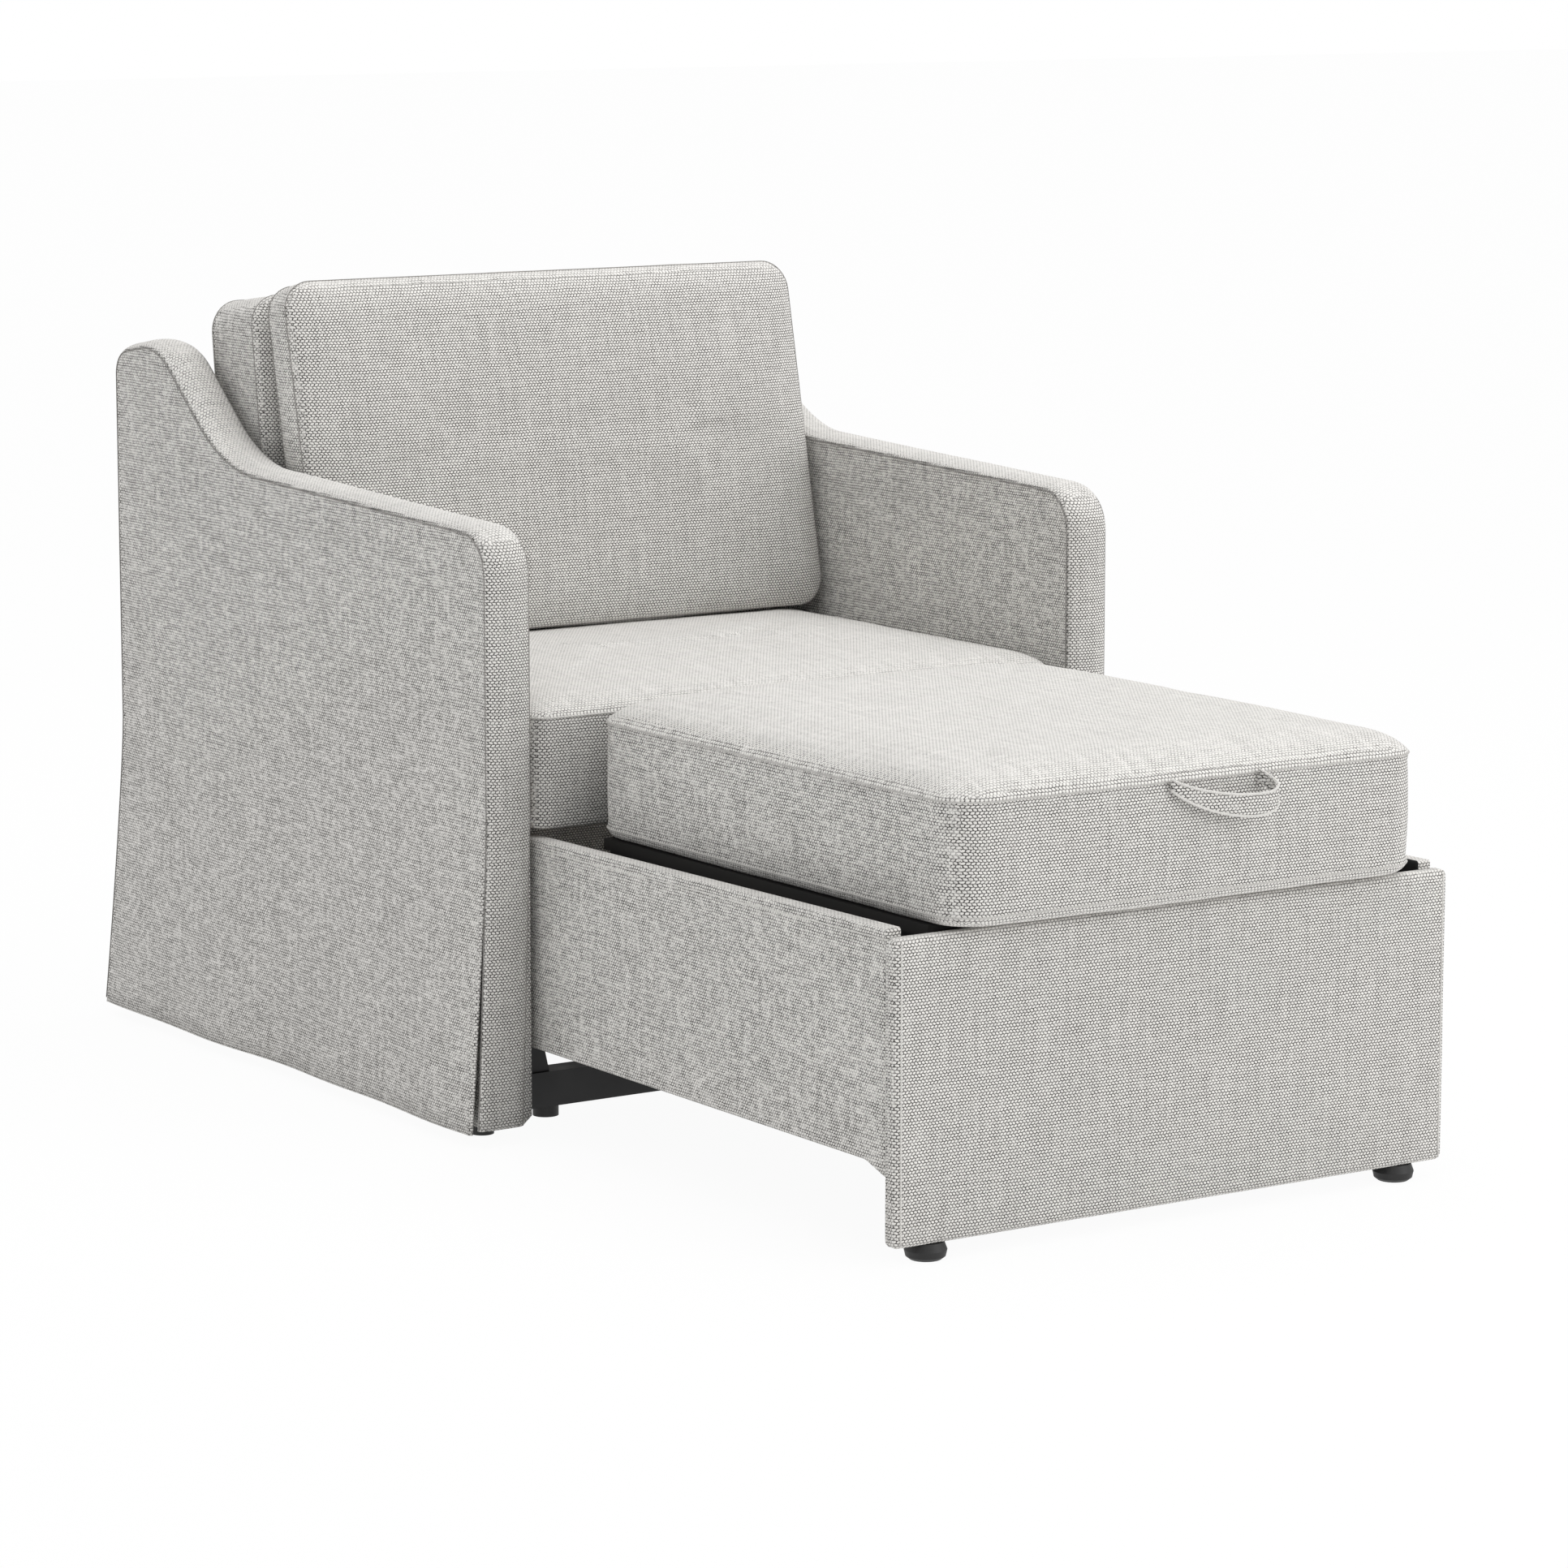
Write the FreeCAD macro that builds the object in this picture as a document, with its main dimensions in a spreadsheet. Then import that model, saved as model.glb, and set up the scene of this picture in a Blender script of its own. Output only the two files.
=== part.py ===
"""Convertible chair bed: an upholstered armchair with a pull-out box, a lifting
extension cushion and a reclining backrest, modelled in millimetres.

The pieces are laid out from the face of the pull-out front panel (depth 0),
+X to the right seen from the front, +Y to the rear and +Z up. Every piece is then
moved forwards by the same amount, so that the origin lies on the floor under the
middle of the whole chair bed as it stands opened out.
"""
import FreeCAD, Part
import math
import os
import Sketcher

doc = FreeCAD.newDocument("ChairBed")
V = FreeCAD.Vector

# Driving sizes, all in millimetres or degrees

sheet = doc.addObject("Spreadsheet::Sheet", "Sizes")
driving_sizes = [
    # arms
    ("arm_span", 795), ("arm_width", 53), ("arm_depth", 822), ("arm_height", 637),
    ("arm_rise", 22), ("wing_height", 786), ("wing_length", 100), ("wing_slope", 156),
    ("wing_drop", 16), ("arm_corner", 45), ("slope_corner", 70), ("wing_corner", 62),
    ("wing_rear_corner", 26), ("arm_hem_corner", 3), ("arm_crown", 8), ("arm_bottom", 40),
    ("arm_padding", 12), ("foot_height", 25), ("foot_diameter", 25), ("foot_inset", 60),
    ("slot_sill", 60), ("slot_head", 110), ("slot_count", 4),
    # skirts
    ("skirt_line", 345), ("skirt_flare", 20), ("hem_height", 14), ("cloth", 3),
    ("skirt_wave", 2.2), ("skirt_corner", 5), ("skirt_lap", 4), ("flap_return", 20),
    ("flap_corner", 4), ("flap_hem", 20), ("rear_drop", 270), ("rear_wave", 4), ("rear_folds", 4),
    # seat
    ("seat_setback", 5), ("seat_to_rear", 297), ("seat_side_gap", 6.5), ("seat_underside", 325),
    ("seat_seam", 446), ("seat_crown", 28), ("seat_crown_run", 150), ("seat_corner", 16),
    ("apron", 16), ("rail_height", 48), ("rail_width", 25), ("rail_drop", 4),
    ("spring_count", 5), ("spring_wire", 4), ("spring_loops", 10), ("spring_reach", 24),
    ("spring_margin", 45), ("spring_drop", 9),
    # rear rail
    ("rear_rail_low", 225), ("rear_rail_high", 275), ("rear_rail_depth", 24), ("rear_rail_inset", 10),
    # backrest
    ("back_side_gap", 9.5), ("back_depth", 150), ("back_height", 490), ("back_lean", 7.3),
    ("back_slope", 8), ("back_rounding", 6), ("back_heel_corner", 24), ("back_top_corner", 40),
    ("back_lip_corner", 22), ("hinge_to_rear", 234), ("hinge_level", 400), ("hinge_inset", 45),
    ("leaf_radius", 26), ("leaf_thickness", 4), ("fixed_arm", 78), ("fixed_turn", 125),
    ("moving_arm", 150), ("back_padding", 30), ("back_board", 22), ("back_bays", 4),
    ("back_stile", 24), ("window_low", 42), ("window_high", 175), ("window_corner", 8),
    # loose back cushion
    ("pillow_side_gap", 9.5), ("pillow_height", 402), ("pillow_band", 40), ("pillow_lean", 12),
    ("pillow_to_hinge", 111), ("pillow_seat", 20.8), ("pillow_crown", 30),
    ("pillow_back_crown", 28.5), ("pillow_run", 115), ("pillow_corner", 24),
    # pull-out box
    ("panel_side_gap", 4.5), ("panel_bottom", 17.4), ("panel_top", 317.5),
    ("panel_thickness", 22), ("panel_round", 7), ("batten_depth", 22), ("batten_rise", 2),
    ("box_side_gap", 8.5), ("box_length", 800), ("box_overlap", 148), ("side_thickness", 20),
    ("side_top", 325), ("side_bottom", 94), ("side_fall", 8), ("side_step", 22),
    ("step_run", 34), ("step_slant", 16), ("rear_board_height", 170), ("rear_board_thickness", 14),
    ("floor_thickness", 6), ("floor_rise", 6), ("glide_diameter", 42), ("glide_inset", 46),
    ("glide_depth", 20),
    # rear trestle of the box
    ("trestle_inset", 50), ("trestle_height", 38), ("trestle_width", 30), ("trestle_glide", 12),
    ("trestle_side_gap", 30), ("leg_width", 28), ("leg_depth", 24), ("leg_spread", 12),
    ("rest_diameter", 28), ("rest_inset", 66), ("pad_low", 190), ("pad_height", 40),
    # lifting platform and its links
    ("link_length", 120), ("link_angle", 98), ("link_width", 22), ("link_thickness", 5),
    ("link_front_inset", 90), ("link_rear_inset", 110), ("link_offset", 3), ("pivot_level", 295),
    ("pivot_diameter", 10), ("bracket_plate", 6), ("bracket_width", 44), ("bracket_low", 34),
    ("bracket_high", 22), ("link_bay", 34), ("platform_setback", 8), ("platform_rear_gap", 42),
    ("platform_board", 12), ("bearer_width", 22), ("bearer_low", 10), ("bearer_front", 20),
    ("bearer_rear", 12),
    # extension cushion and its pull tab
    ("cushion_margin", 5), ("cushion_overhang", 25), ("cushion_rear_gap", 24),
    ("cushion_underside", 321.5), ("cushion_seam", 448), ("cushion_crown", 27),
    ("cushion_run", 140), ("cushion_corner", 22), ("tab_left", -15), ("tab_width", 98),
    ("tab_reach", 46), ("tab_droop", 24), ("tab_height", 24), ("tab_thickness", 3),
    ("tab_seam_drop", 6), ("tab_start", 0.95),
    # clearances
    ("pin_play", 0.05), ("open_play", 0.3), ("pin_proud", 2), ("rest_gap", 0.3),
]
for row, (alias, value) in enumerate(driving_sizes, start=1):
    sheet.set("A%d" % row, alias)
    sheet.set("B%d" % row, str(value))
    sheet.setAlias("B%d" % row, alias)
doc.recompute()


def size(alias):
    """Value of one driving size."""
    return float(getattr(sheet, alias))


# Places worked out from the driving sizes

arm_outer = size("arm_span") / 2
arm_inner = arm_outer - size("arm_width")
arm_front = size("box_length") - size("box_overlap")
arm_rear = arm_front + size("arm_depth")
front_reach = size("cushion_overhang") + size("tab_reach")
middle = (arm_rear + size("skirt_flare") - front_reach) / 2
half_box = arm_inner - size("box_side_gap")
side_inner = half_box - size("side_thickness")
platform_half = side_inner - size("link_bay")
platform_front = size("panel_thickness") + size("platform_setback")
platform_rear = arm_front - size("platform_rear_gap")
cushion_half = platform_half + size("cushion_margin")
link_rise = size("link_length") * math.sin(math.radians(size("link_angle")))
link_run = size("link_length") * math.cos(math.radians(size("link_angle")))
foot_of_link = size("pivot_level") - link_rise
link_centre = (cushion_half + side_inner) / 2 - size("link_offset")

# The same places as expressions, for the pieces that are bound to the sheet

ARM_FRONT = "(Sizes.box_length - Sizes.box_overlap)"
ARM_REAR = "(Sizes.box_length - Sizes.box_overlap + Sizes.arm_depth)"
ARM_INNER = "(Sizes.arm_span / 2 - Sizes.arm_width)"
MIDDLE = ("((Sizes.box_length - Sizes.box_overlap + Sizes.arm_depth + Sizes.skirt_flare"
          " - Sizes.cushion_overhang - Sizes.tab_reach) / 2)")

parts = {}


def keep(name, thing):
    """Give a finished sub-part its label and remember it."""
    thing.Label = name
    parts[name] = thing
    return thing


def shaped(name, shape):
    """A sub-part whose shape is worked out below, moved to the shared origin."""
    thing = doc.addObject("Part::Feature", name)
    thing.Shape = shape
    thing.Placement = FreeCAD.Placement(V(0, -middle, 0), FreeCAD.Rotation())
    return keep(name, thing)


def block(name, low, high):
    """A plain board between two corners, given as expressions of the sheet."""
    thing = doc.addObject("Part::Box", name)
    for axis, side, start, end in zip("xyz", ("Length", "Width", "Height"), low, high):
        thing.setExpression(side, "(%s) - (%s)" % (end, start))
        offset = " - " + MIDDLE if axis == "y" else ""
        thing.setExpression(".Placement.Base." + axis, "(%s)%s" % (start, offset))
    return thing


def box_solid(low, high):
    """A box between two corners, as a shape."""
    return Part.makeBox(high[0] - low[0], high[1] - low[1], high[2] - low[2], V(*low))


def cylinder(start, axis, radius, length):
    """A round bar from a point along an axis."""
    return Part.makeCylinder(radius, length, V(*start), V(*axis))


def mirrored(shape):
    """The same piece on the other side of the chair."""
    return shape.mirror(V(0, 0, 0), V(1, 0, 0))


def rounded_outline(corners, place):
    """Closed wire through (u, v, radius) corners, each rounded by its own arc."""
    count = len(corners)
    stops = []
    for i in range(count):
        u, v, radius = corners[i]
        before = corners[i - 1]
        after = corners[(i + 1) % count]
        to_before = V(before[0] - u, before[1] - v, 0).normalize()
        to_after = V(after[0] - u, after[1] - v, 0).normalize()
        half = to_before.getAngle(to_after) / 2
        reach = radius / math.tan(half)
        toward = (to_before + to_after).normalize()
        corner = V(u, v, 0)
        tip = corner + toward * (radius / math.sin(half) - radius)
        stops.append((corner + to_before * reach, tip, corner + to_after * reach))
    edges = []
    for i in range(count):
        start, tip, end = stops[i]
        nxt = stops[(i + 1) % count][0]
        edges.append(Part.Arc(place(start), place(tip), place(end)).toShape())
        edges.append(Part.LineSegment(place(end), place(nxt)).toShape())
    return Part.Wire(edges)


def grown(corners, by):
    """The same outline offset outwards, with its corner radii grown to match."""
    count = len(corners)
    out = []
    for i in range(count):
        u, v, radius = corners[i]
        before = V(corners[i - 1][0], corners[i - 1][1], 0)
        after = V(corners[(i + 1) % count][0], corners[(i + 1) % count][1], 0)
        here = V(u, v, 0)
        first = (here - before).normalize()
        second = (after - here).normalize()
        turn = first.cross(second).z
        first_out = V(first.y, -first.x, 0)
        second_out = V(second.y, -second.x, 0)
        bisector = (first_out + second_out).normalize()
        step = by / bisector.dot(first_out)
        new_radius = radius + by if turn > 0 else radius - by
        out.append((u + bisector.x * step, v + bisector.y * step, max(new_radius, 1.0)))
    return out


def pillow_section(half_width, half_length, corner, bow, level, place):
    """Closed wire at one level: four sides that bow out a little between round corners."""
    w, d = half_width, half_length
    sides = [((w, d - corner), (w + bow, 0), (w, corner - d)),
             ((w - corner, -d), (0, -d - bow), (corner - w, -d)),
             ((-w, corner - d), (-w - bow, 0), (-w, d - corner)),
             ((corner - w, d), (0, d + bow), (w - corner, d))]
    turns = [(w - corner, corner - d, -45), (corner - w, corner - d, -135),
             (corner - w, d - corner, 135), (w - corner, d - corner, 45)]
    edges = []
    for i in range(4):
        start, mid, end = [place(V(u, v, level)) for u, v in sides[i]]
        after = place(V(*sides[(i + 1) % 4][0], level))
        u, v, degrees = turns[i]
        turn = math.radians(degrees)
        tip = V(u + corner * math.cos(turn), v + corner * math.sin(turn), level)
        side = Part.Arc(start, mid, end) if bow else Part.LineSegment(start, end)
        edges.append(side.toShape())
        edges.append(Part.Arc(end, place(tip), after).toShape())
    return Part.Wire(edges)


def cushion_solid(half_width, half_length, corner, levels, place):
    """Cushion lofted through (level, inset, bow) sections: crown, seams and bulged sides."""
    wires = [pillow_section(half_width - inset, half_length - inset, max(corner - inset / 4, corner / 3),
                            bow, level, place) for level, inset, bow in levels]
    return Part.makeLoft(wires, True, True)


def crowned(seam, rise, run, shares):
    """Levels of a crown: how far it has risen above the seam, and how far in from the edge."""
    return [(seam + rise * up, run * inwards, 0) for up, inwards in shares]


# Arm covers: a band that runs up the front, along the top and over the wing

def arm_profile(bottom):
    """Seam line of an arm in the plane of depth and height, front bottom first."""
    wing = arm_rear - size("wing_length")
    slope_start = wing - size("wing_slope")
    hem = size("arm_hem_corner")
    return [(arm_front, bottom, hem), (arm_rear, bottom, hem),
            (arm_rear, size("wing_height") - size("wing_drop"), size("wing_rear_corner")),
            (wing, size("wing_height"), size("wing_corner")),
            (slope_start, size("arm_height") + size("arm_rise"), size("slope_corner")),
            (arm_front, size("arm_height"), size("arm_corner"))]


def arm_wire(x, by, bottom):
    outline = grown(arm_profile(bottom), by)
    outline[0] = (outline[0][0], bottom, outline[0][2])
    outline[1] = (outline[1][0], bottom, outline[1][2])
    return rounded_outline(outline, lambda p: V(x, p.x, p.y))


def arm_slab(inner, outer, by, bottom):
    """Straight-sided slab with the arm's outline."""
    face = Part.Face(arm_wire(inner, by, bottom))
    return face.extrude(V(outer - inner, 0, 0))


def arm_upper():
    """Padded upper part with its crowned band, sewn off at the skirt line."""
    crown = size("arm_crown")
    width = size("arm_width")
    stations = [(0.0, 0.0), (0.12, 0.55), (0.3, 0.9), (0.5, 1.0), (0.7, 0.9), (0.88, 0.55), (1.0, 0.0)]
    wires = [arm_wire(arm_inner + width * share, crown * rise, size("skirt_line"))
             for share, rise in stations]
    return Part.makeLoft(wires, True, True)


def arm_cover():
    """Upper padding and covered lower board, hollow inside for the arm frame."""
    padding = size("arm_padding")
    bottom = size("arm_bottom")
    step_in = size("cloth") + size("rest_gap")
    lower = arm_slab(arm_inner, arm_outer - step_in, -1.5 * size("cloth"), bottom)
    lower = lower.common(box_solid((0, 0, 0), (arm_outer, 2 * arm_rear, size("skirt_line"))))
    cavity = arm_slab(arm_inner + padding, arm_outer - padding, -padding, bottom / 2)
    return arm_upper().fuse(lower).cut(cavity)


right_cover = arm_cover()
shaped("arm_cover_right", right_cover)
shaped("arm_cover_left", mirrored(right_cover))


# Arm frames: a timber panel lightened by a row of slots

def arm_frame():
    padding = size("arm_padding") + size("rest_gap")
    panel = arm_slab(arm_inner + padding, arm_outer - padding, -padding, size("foot_height"))
    slots = int(size("slot_count"))
    pitch = (size("arm_depth") - 2 * padding) / slots
    slot_width = pitch * 2 / 3
    slot_low = size("foot_height") + size("slot_sill")
    slot_top = size("arm_height") - size("slot_head")
    for i in range(slots):
        centre = arm_front + padding + pitch * (i + 0.5)
        panel = panel.cut(box_solid((0, centre - slot_width / 2, slot_low),
                                    (arm_outer, centre + slot_width / 2, slot_top)))
    return panel


right_frame = arm_frame()
shaped("arm_frame_right", right_frame)
shaped("arm_frame_left", mirrored(right_frame))


# Feet under the arm frames

def arm_feet():
    radius = size("foot_diameter") / 2
    centre_x = (arm_inner + arm_outer) / 2
    feet = []
    for side in (-1, 1):
        for depth in (arm_front + size("foot_inset"), arm_rear - size("foot_inset")):
            foot = cylinder((side * centre_x, depth, 0), (0, 0, 1), radius, size("foot_height"))
            feet.append(foot)
    return Part.makeCompound(feet)


shaped("arm_feet", arm_feet())


# Hanging skirts: flared cloth below the skirt line, slit at the front corner

def skirt_outline(level, flare, wave):
    """Thin closed outline of one skirt at a level, for the right arm."""
    cloth = size("cloth")
    top = size("skirt_line")
    drop = (top - level) / (top - size("hem_height"))
    out = flare * drop ** 1.25
    face = arm_outer - cloth + out
    front = arm_front + size("skirt_lap") - out * 0.3
    rear = arm_rear + out
    turn = size("skirt_corner")
    inner = arm_inner + size("skirt_lap")
    bulge = wave * drop
    span = rear - front
    outer_line = [V(face + cloth, front, level), V(face + cloth, rear - turn, level)]
    edges = []
    quarter = front + span * 0.27
    half = front + span * 0.52
    edges.append(Part.Arc(outer_line[0], V(face + cloth + bulge, (front + quarter) / 2, level),
                          V(face + cloth, quarter, level)).toShape())
    edges.append(Part.Arc(V(face + cloth, quarter, level),
                          V(face + cloth - bulge, (quarter + half) / 2, level),
                          V(face + cloth, half, level)).toShape())
    edges.append(Part.Arc(V(face + cloth, half, level),
                          V(face + cloth + bulge, (half + rear - turn) / 2, level),
                          outer_line[1]).toShape())
    corner = math.sqrt(0.5)
    edges.append(Part.Arc(outer_line[1],
                          V(face + cloth - turn + turn * corner, rear - turn + turn * corner, level),
                          V(face + cloth - turn, rear, level)).toShape())
    edges.append(Part.LineSegment(V(face + cloth - turn, rear, level), V(inner, rear, level)).toShape())
    edges.append(Part.LineSegment(V(inner, rear, level), V(inner, rear - cloth, level)).toShape())
    edges.append(Part.LineSegment(V(inner, rear - cloth, level),
                                  V(face + cloth - turn, rear - cloth, level)).toShape())
    tight = turn - cloth
    edges.append(Part.Arc(V(face + cloth - turn, rear - cloth, level),
                          V(face + cloth - turn + tight * corner, rear - turn + tight * corner, level),
                          V(face, rear - turn, level)).toShape())
    edges.append(Part.Arc(V(face, rear - turn, level),
                          V(face + bulge, (half + rear - turn) / 2, level),
                          V(face, half, level)).toShape())
    edges.append(Part.Arc(V(face, half, level), V(face - bulge, (quarter + half) / 2, level),
                          V(face, quarter, level)).toShape())
    edges.append(Part.Arc(V(face, quarter, level), V(face + bulge, (front + quarter) / 2, level),
                          V(face, front, level)).toShape())
    edges.append(Part.LineSegment(V(face, front, level), outer_line[0]).toShape())
    return Part.Wire(edges)


def side_skirt():
    top = size("skirt_line") - size("rest_gap")
    drop = top - size("hem_height")
    levels = [top - drop * share for share in (0, 0.2, 0.45, 0.75, 1)]
    wires = [skirt_outline(level, size("skirt_flare"), size("skirt_wave")) for level in levels]
    return Part.makeLoft(wires, True, True)


def front_flap():
    """Lower end of the front band: cloth across the arm's front and round its inner side."""
    cloth = size("cloth")
    top = size("skirt_line") - size("rest_gap")
    wires = []
    for share in (0.0, 0.3, 0.65, 1.0):
        level = top + (size("flap_hem") - top) * share
        out = size("skirt_flare") * share ** 1.25
        side = arm_outer - cloth / 3 + out * 0.45
        front = arm_front - cloth - out * 0.35
        back = front + cloth
        inner = arm_inner - cloth - size("rest_gap")
        turn = size("flap_corner")
        reach = front + size("flap_return")
        points = [V(side, front, level), V(inner + turn, front, level), V(inner, front + turn, level),
                  V(inner, reach, level), V(inner + cloth, reach, level),
                  V(inner + cloth, back + turn, level), V(inner + turn, back, level), V(side, back, level)]
        edges = []
        for i, start in enumerate(points):
            end = points[(i + 1) % len(points)]
            if i in (1, 5):
                corner = V(inner, front, level) if i == 1 else V(inner + cloth, back, level)
                near = (start + end) * 0.21 + corner * 0.58
                edges.append(Part.Arc(start, near, end).toShape())
            else:
                edges.append(Part.LineSegment(start, end).toShape())
        wires.append(Part.Wire(edges))
    return Part.makeLoft(wires, True, True)


right_skirt = side_skirt()
shaped("skirt_right", right_skirt)
shaped("skirt_left", mirrored(right_skirt))
right_flap = front_flap()
shaped("front_flap_right", right_flap)
shaped("front_flap_left", mirrored(right_flap))


# Seat frame between the arms, with its sinuous springs

seat_front = arm_front + size("seat_setback")
seat_rear = arm_rear - size("seat_to_rear")
rail_bottom = size("seat_underside") + size("rail_drop")
rail_top = rail_bottom + size("rail_height")
rail_front = seat_front + size("apron") + size("pin_proud")

RAIL_LOW = "Sizes.seat_underside + Sizes.rail_drop"
RAIL_HIGH = "Sizes.seat_underside + Sizes.rail_drop + Sizes.rail_height"
RAIL_FRONT = "(%s + Sizes.seat_setback + Sizes.apron + Sizes.pin_proud)" % ARM_FRONT
SEAT_REAR = "(%s - Sizes.seat_to_rear)" % ARM_REAR
LEAF_IN = "(Sizes.arm_span / 2 - Sizes.arm_width - Sizes.leaf_thickness)"

keep("seat_front_rail", block("seat_front_rail", ("-" + ARM_INNER, RAIL_FRONT, RAIL_LOW),
                              (ARM_INNER, RAIL_FRONT + " + Sizes.rail_width", RAIL_HIGH)))
keep("seat_rear_rail", block("seat_rear_rail", ("-" + LEAF_IN, SEAT_REAR + " - Sizes.rail_width", RAIL_LOW),
                             (LEAF_IN, SEAT_REAR, RAIL_HIGH)))


def side_rails():
    rails = []
    for side in (-1, 1):
        near = side * arm_inner
        far = side * (arm_inner - size("rail_width"))
        rails.append(box_solid((min(near, far), rail_front + size("rail_width"), rail_bottom),
                               (max(near, far), seat_rear - size("rail_width"), rail_top)))
    return Part.makeCompound(rails)


shaped("seat_side_rails", side_rails())


def sinuous_spring(x):
    """One zigzag spring of square wire: runs across, joined by faceted half turns."""
    half = size("spring_wire") / 2
    level = rail_top - size("spring_drop")
    start = rail_front + size("rail_width") + size("rest_gap")
    end = seat_rear - size("rail_width") - size("rest_gap")
    loops = int(size("spring_loops"))
    bend = (end - start) / (loops + 1) / 2
    reach = size("spring_reach") - bend
    points = [V(x, start, level), V(x, start + bend, level)]
    for i in range(loops):
        side = 1 if i % 2 == 0 else -1
        centre = V(x + side * reach, start + bend * (2 * i + 2), level)
        for quarter in (-90, -45, 0, 45, 90):
            turn = math.radians(quarter)
            points.append(centre + V(side * bend * math.cos(turn), bend * math.sin(turn), 0))
        points.append(V(x, centre.y + bend, level))
    points.append(V(x, end, level))
    first = points[0]
    corners = [first + V(-half, 0, -half), first + V(half, 0, -half), first + V(half, 0, half),
               first + V(-half, 0, half)]
    section = Part.makePolygon(corners + [corners[0]])
    return Part.makePolygon(points).makePipeShell([section], True, False, 1)


def seat_springs():
    count = int(size("spring_count"))
    span = 2 * (arm_inner - size("rail_width") - size("spring_margin"))
    return Part.makeCompound([sinuous_spring(-span / 2 + span * (i + 0.5) / count) for i in range(count)])


shaped("seat_springs", seat_springs())


# Seat cushion: one upholstered block whose apron hangs over the front rail

CROWN = ((0.27, 0.05), (0.54, 0.19), (0.84, 0.53), (1, 1))


def seat_cushion():
    half_w = arm_inner - size("seat_side_gap")
    half_d = (seat_rear - seat_front) / 2
    seam = size("seat_seam")
    low = size("seat_underside")
    levels = [(low, size("cloth"), 0), ((low + seam) / 2, 0, 1), (seam, size("cloth") / 3, 0)]
    levels += crowned(seam, size("seat_crown"), size("seat_crown_run"), CROWN)
    block_shape = cushion_solid(half_w, half_d, size("seat_corner"), levels,
                                lambda p: V(p.x, p.y + seat_front + half_d, p.z))
    under = box_solid((-arm_inner, rail_front - size("pin_proud"), 0),
                      (arm_inner, arm_rear, rail_top + size("rest_gap")))
    return block_shape.cut(under)


shaped("seat_cushion", seat_cushion())


# Rear rail and rear skirt between the arms

RAIL_REAR = "(%s - Sizes.rear_rail_inset)" % ARM_REAR
keep("rear_rail", block("rear_rail",
                        ("-" + ARM_INNER, RAIL_REAR + " - Sizes.rear_rail_depth", "Sizes.rear_rail_low"),
                        (ARM_INNER, RAIL_REAR, "Sizes.rear_rail_high")))


def rear_skirt():
    """Cloth hanging from the rear rail to just above the floor, with shallow folds."""
    cloth = size("cloth")
    half = arm_inner - cloth / 3
    top = size("rear_drop")
    folds = int(size("rear_folds"))
    wires = []
    for share in (0.0, 0.5, 1.0):
        level = top + (size("hem_height") - top) * share
        out = size("skirt_flare") * 0.6 * share
        y = arm_rear - size("rear_rail_inset") + size("rest_gap") + out
        wave = size("rear_wave") * share
        step = 2 * half / folds
        edges = []
        for offset, order in ((cloth, range(folds)), (0.0, range(folds - 1, -1, -1))):
            forward = offset > 0
            for i in order:
                a = -half + step * i
                b = a + step
                swell = wave if i % 2 else -wave
                start, end = (a, b) if forward else (b, a)
                edges.append(Part.Arc(V(start, y + offset, level),
                                      V((a + b) / 2, y + offset + swell * share + 0.01, level),
                                      V(end, y + offset, level)).toShape())
            turn = half if forward else -half
            near = V(turn, y + offset, level)
            far = V(turn, y + cloth - offset, level)
            edges.append(Part.LineSegment(near, far).toShape())
        wires.append(Part.Wire(edges))
    return Part.makeLoft(wires, True, True)


shaped("rear_skirt", rear_skirt())


# Backrest, laid out along its own height u and depth v from the hinge axis

lean = math.radians(size("back_lean"))
hinge = V(0, arm_rear - size("hinge_to_rear"), size("hinge_level"))
inset = size("hinge_inset")
back_half = arm_inner - size("back_side_gap")


def on_back(x, u, v):
    """A point of the leaning backrest: u up its height, v to the rear, from the hinge."""
    return V(x, hinge.y + u * math.sin(lean) + v * math.cos(lean),
             hinge.z + u * math.cos(lean) - v * math.sin(lean))


def back_slab(low_x, high_x, corners):
    wire = rounded_outline(corners, lambda p: on_back(low_x, p.y, p.x))
    return Part.Face(wire).extrude(V(high_x - low_x, 0, 0))


def back_outline(by):
    front = -inset - by
    rear = size("back_depth") - inset + by
    top = size("back_height") - inset + by
    return [(front, -inset - by, inset - 1 + by), (rear, -inset - by, size("back_heel_corner") + by),
            (rear, top - size("back_slope"), size("back_top_corner") + by),
            (front, top, size("back_lip_corner") + by)]


def back_cover():
    turn = size("back_rounding")
    edge = [(back_half, -turn), (back_half - 0.8 * turn, -0.2 * turn), (back_half - 2.3 * turn, 0)]
    stations = [(-x, by) for x, by in edge] + list(reversed(edge))
    wires = [rounded_outline(back_outline(by), lambda p, x=x: on_back(x, p.y, p.x)) for x, by in stations]
    solid = Part.makeLoft(wires, True, True)
    board_half = back_half - size("back_padding")
    hollow = back_slab(-board_half, board_half, back_board_outline(0.0))
    return solid.cut(hollow)


def back_board_outline(by):
    pad = size("back_padding")
    low = pad - inset - by
    high = size("back_height") - inset - pad * 1.2 + by
    rear = size("back_board") + by
    turn = size("cloth")
    return [(-by, low, turn), (rear, low, turn), (rear, high, turn), (-by, high, turn)]


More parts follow.
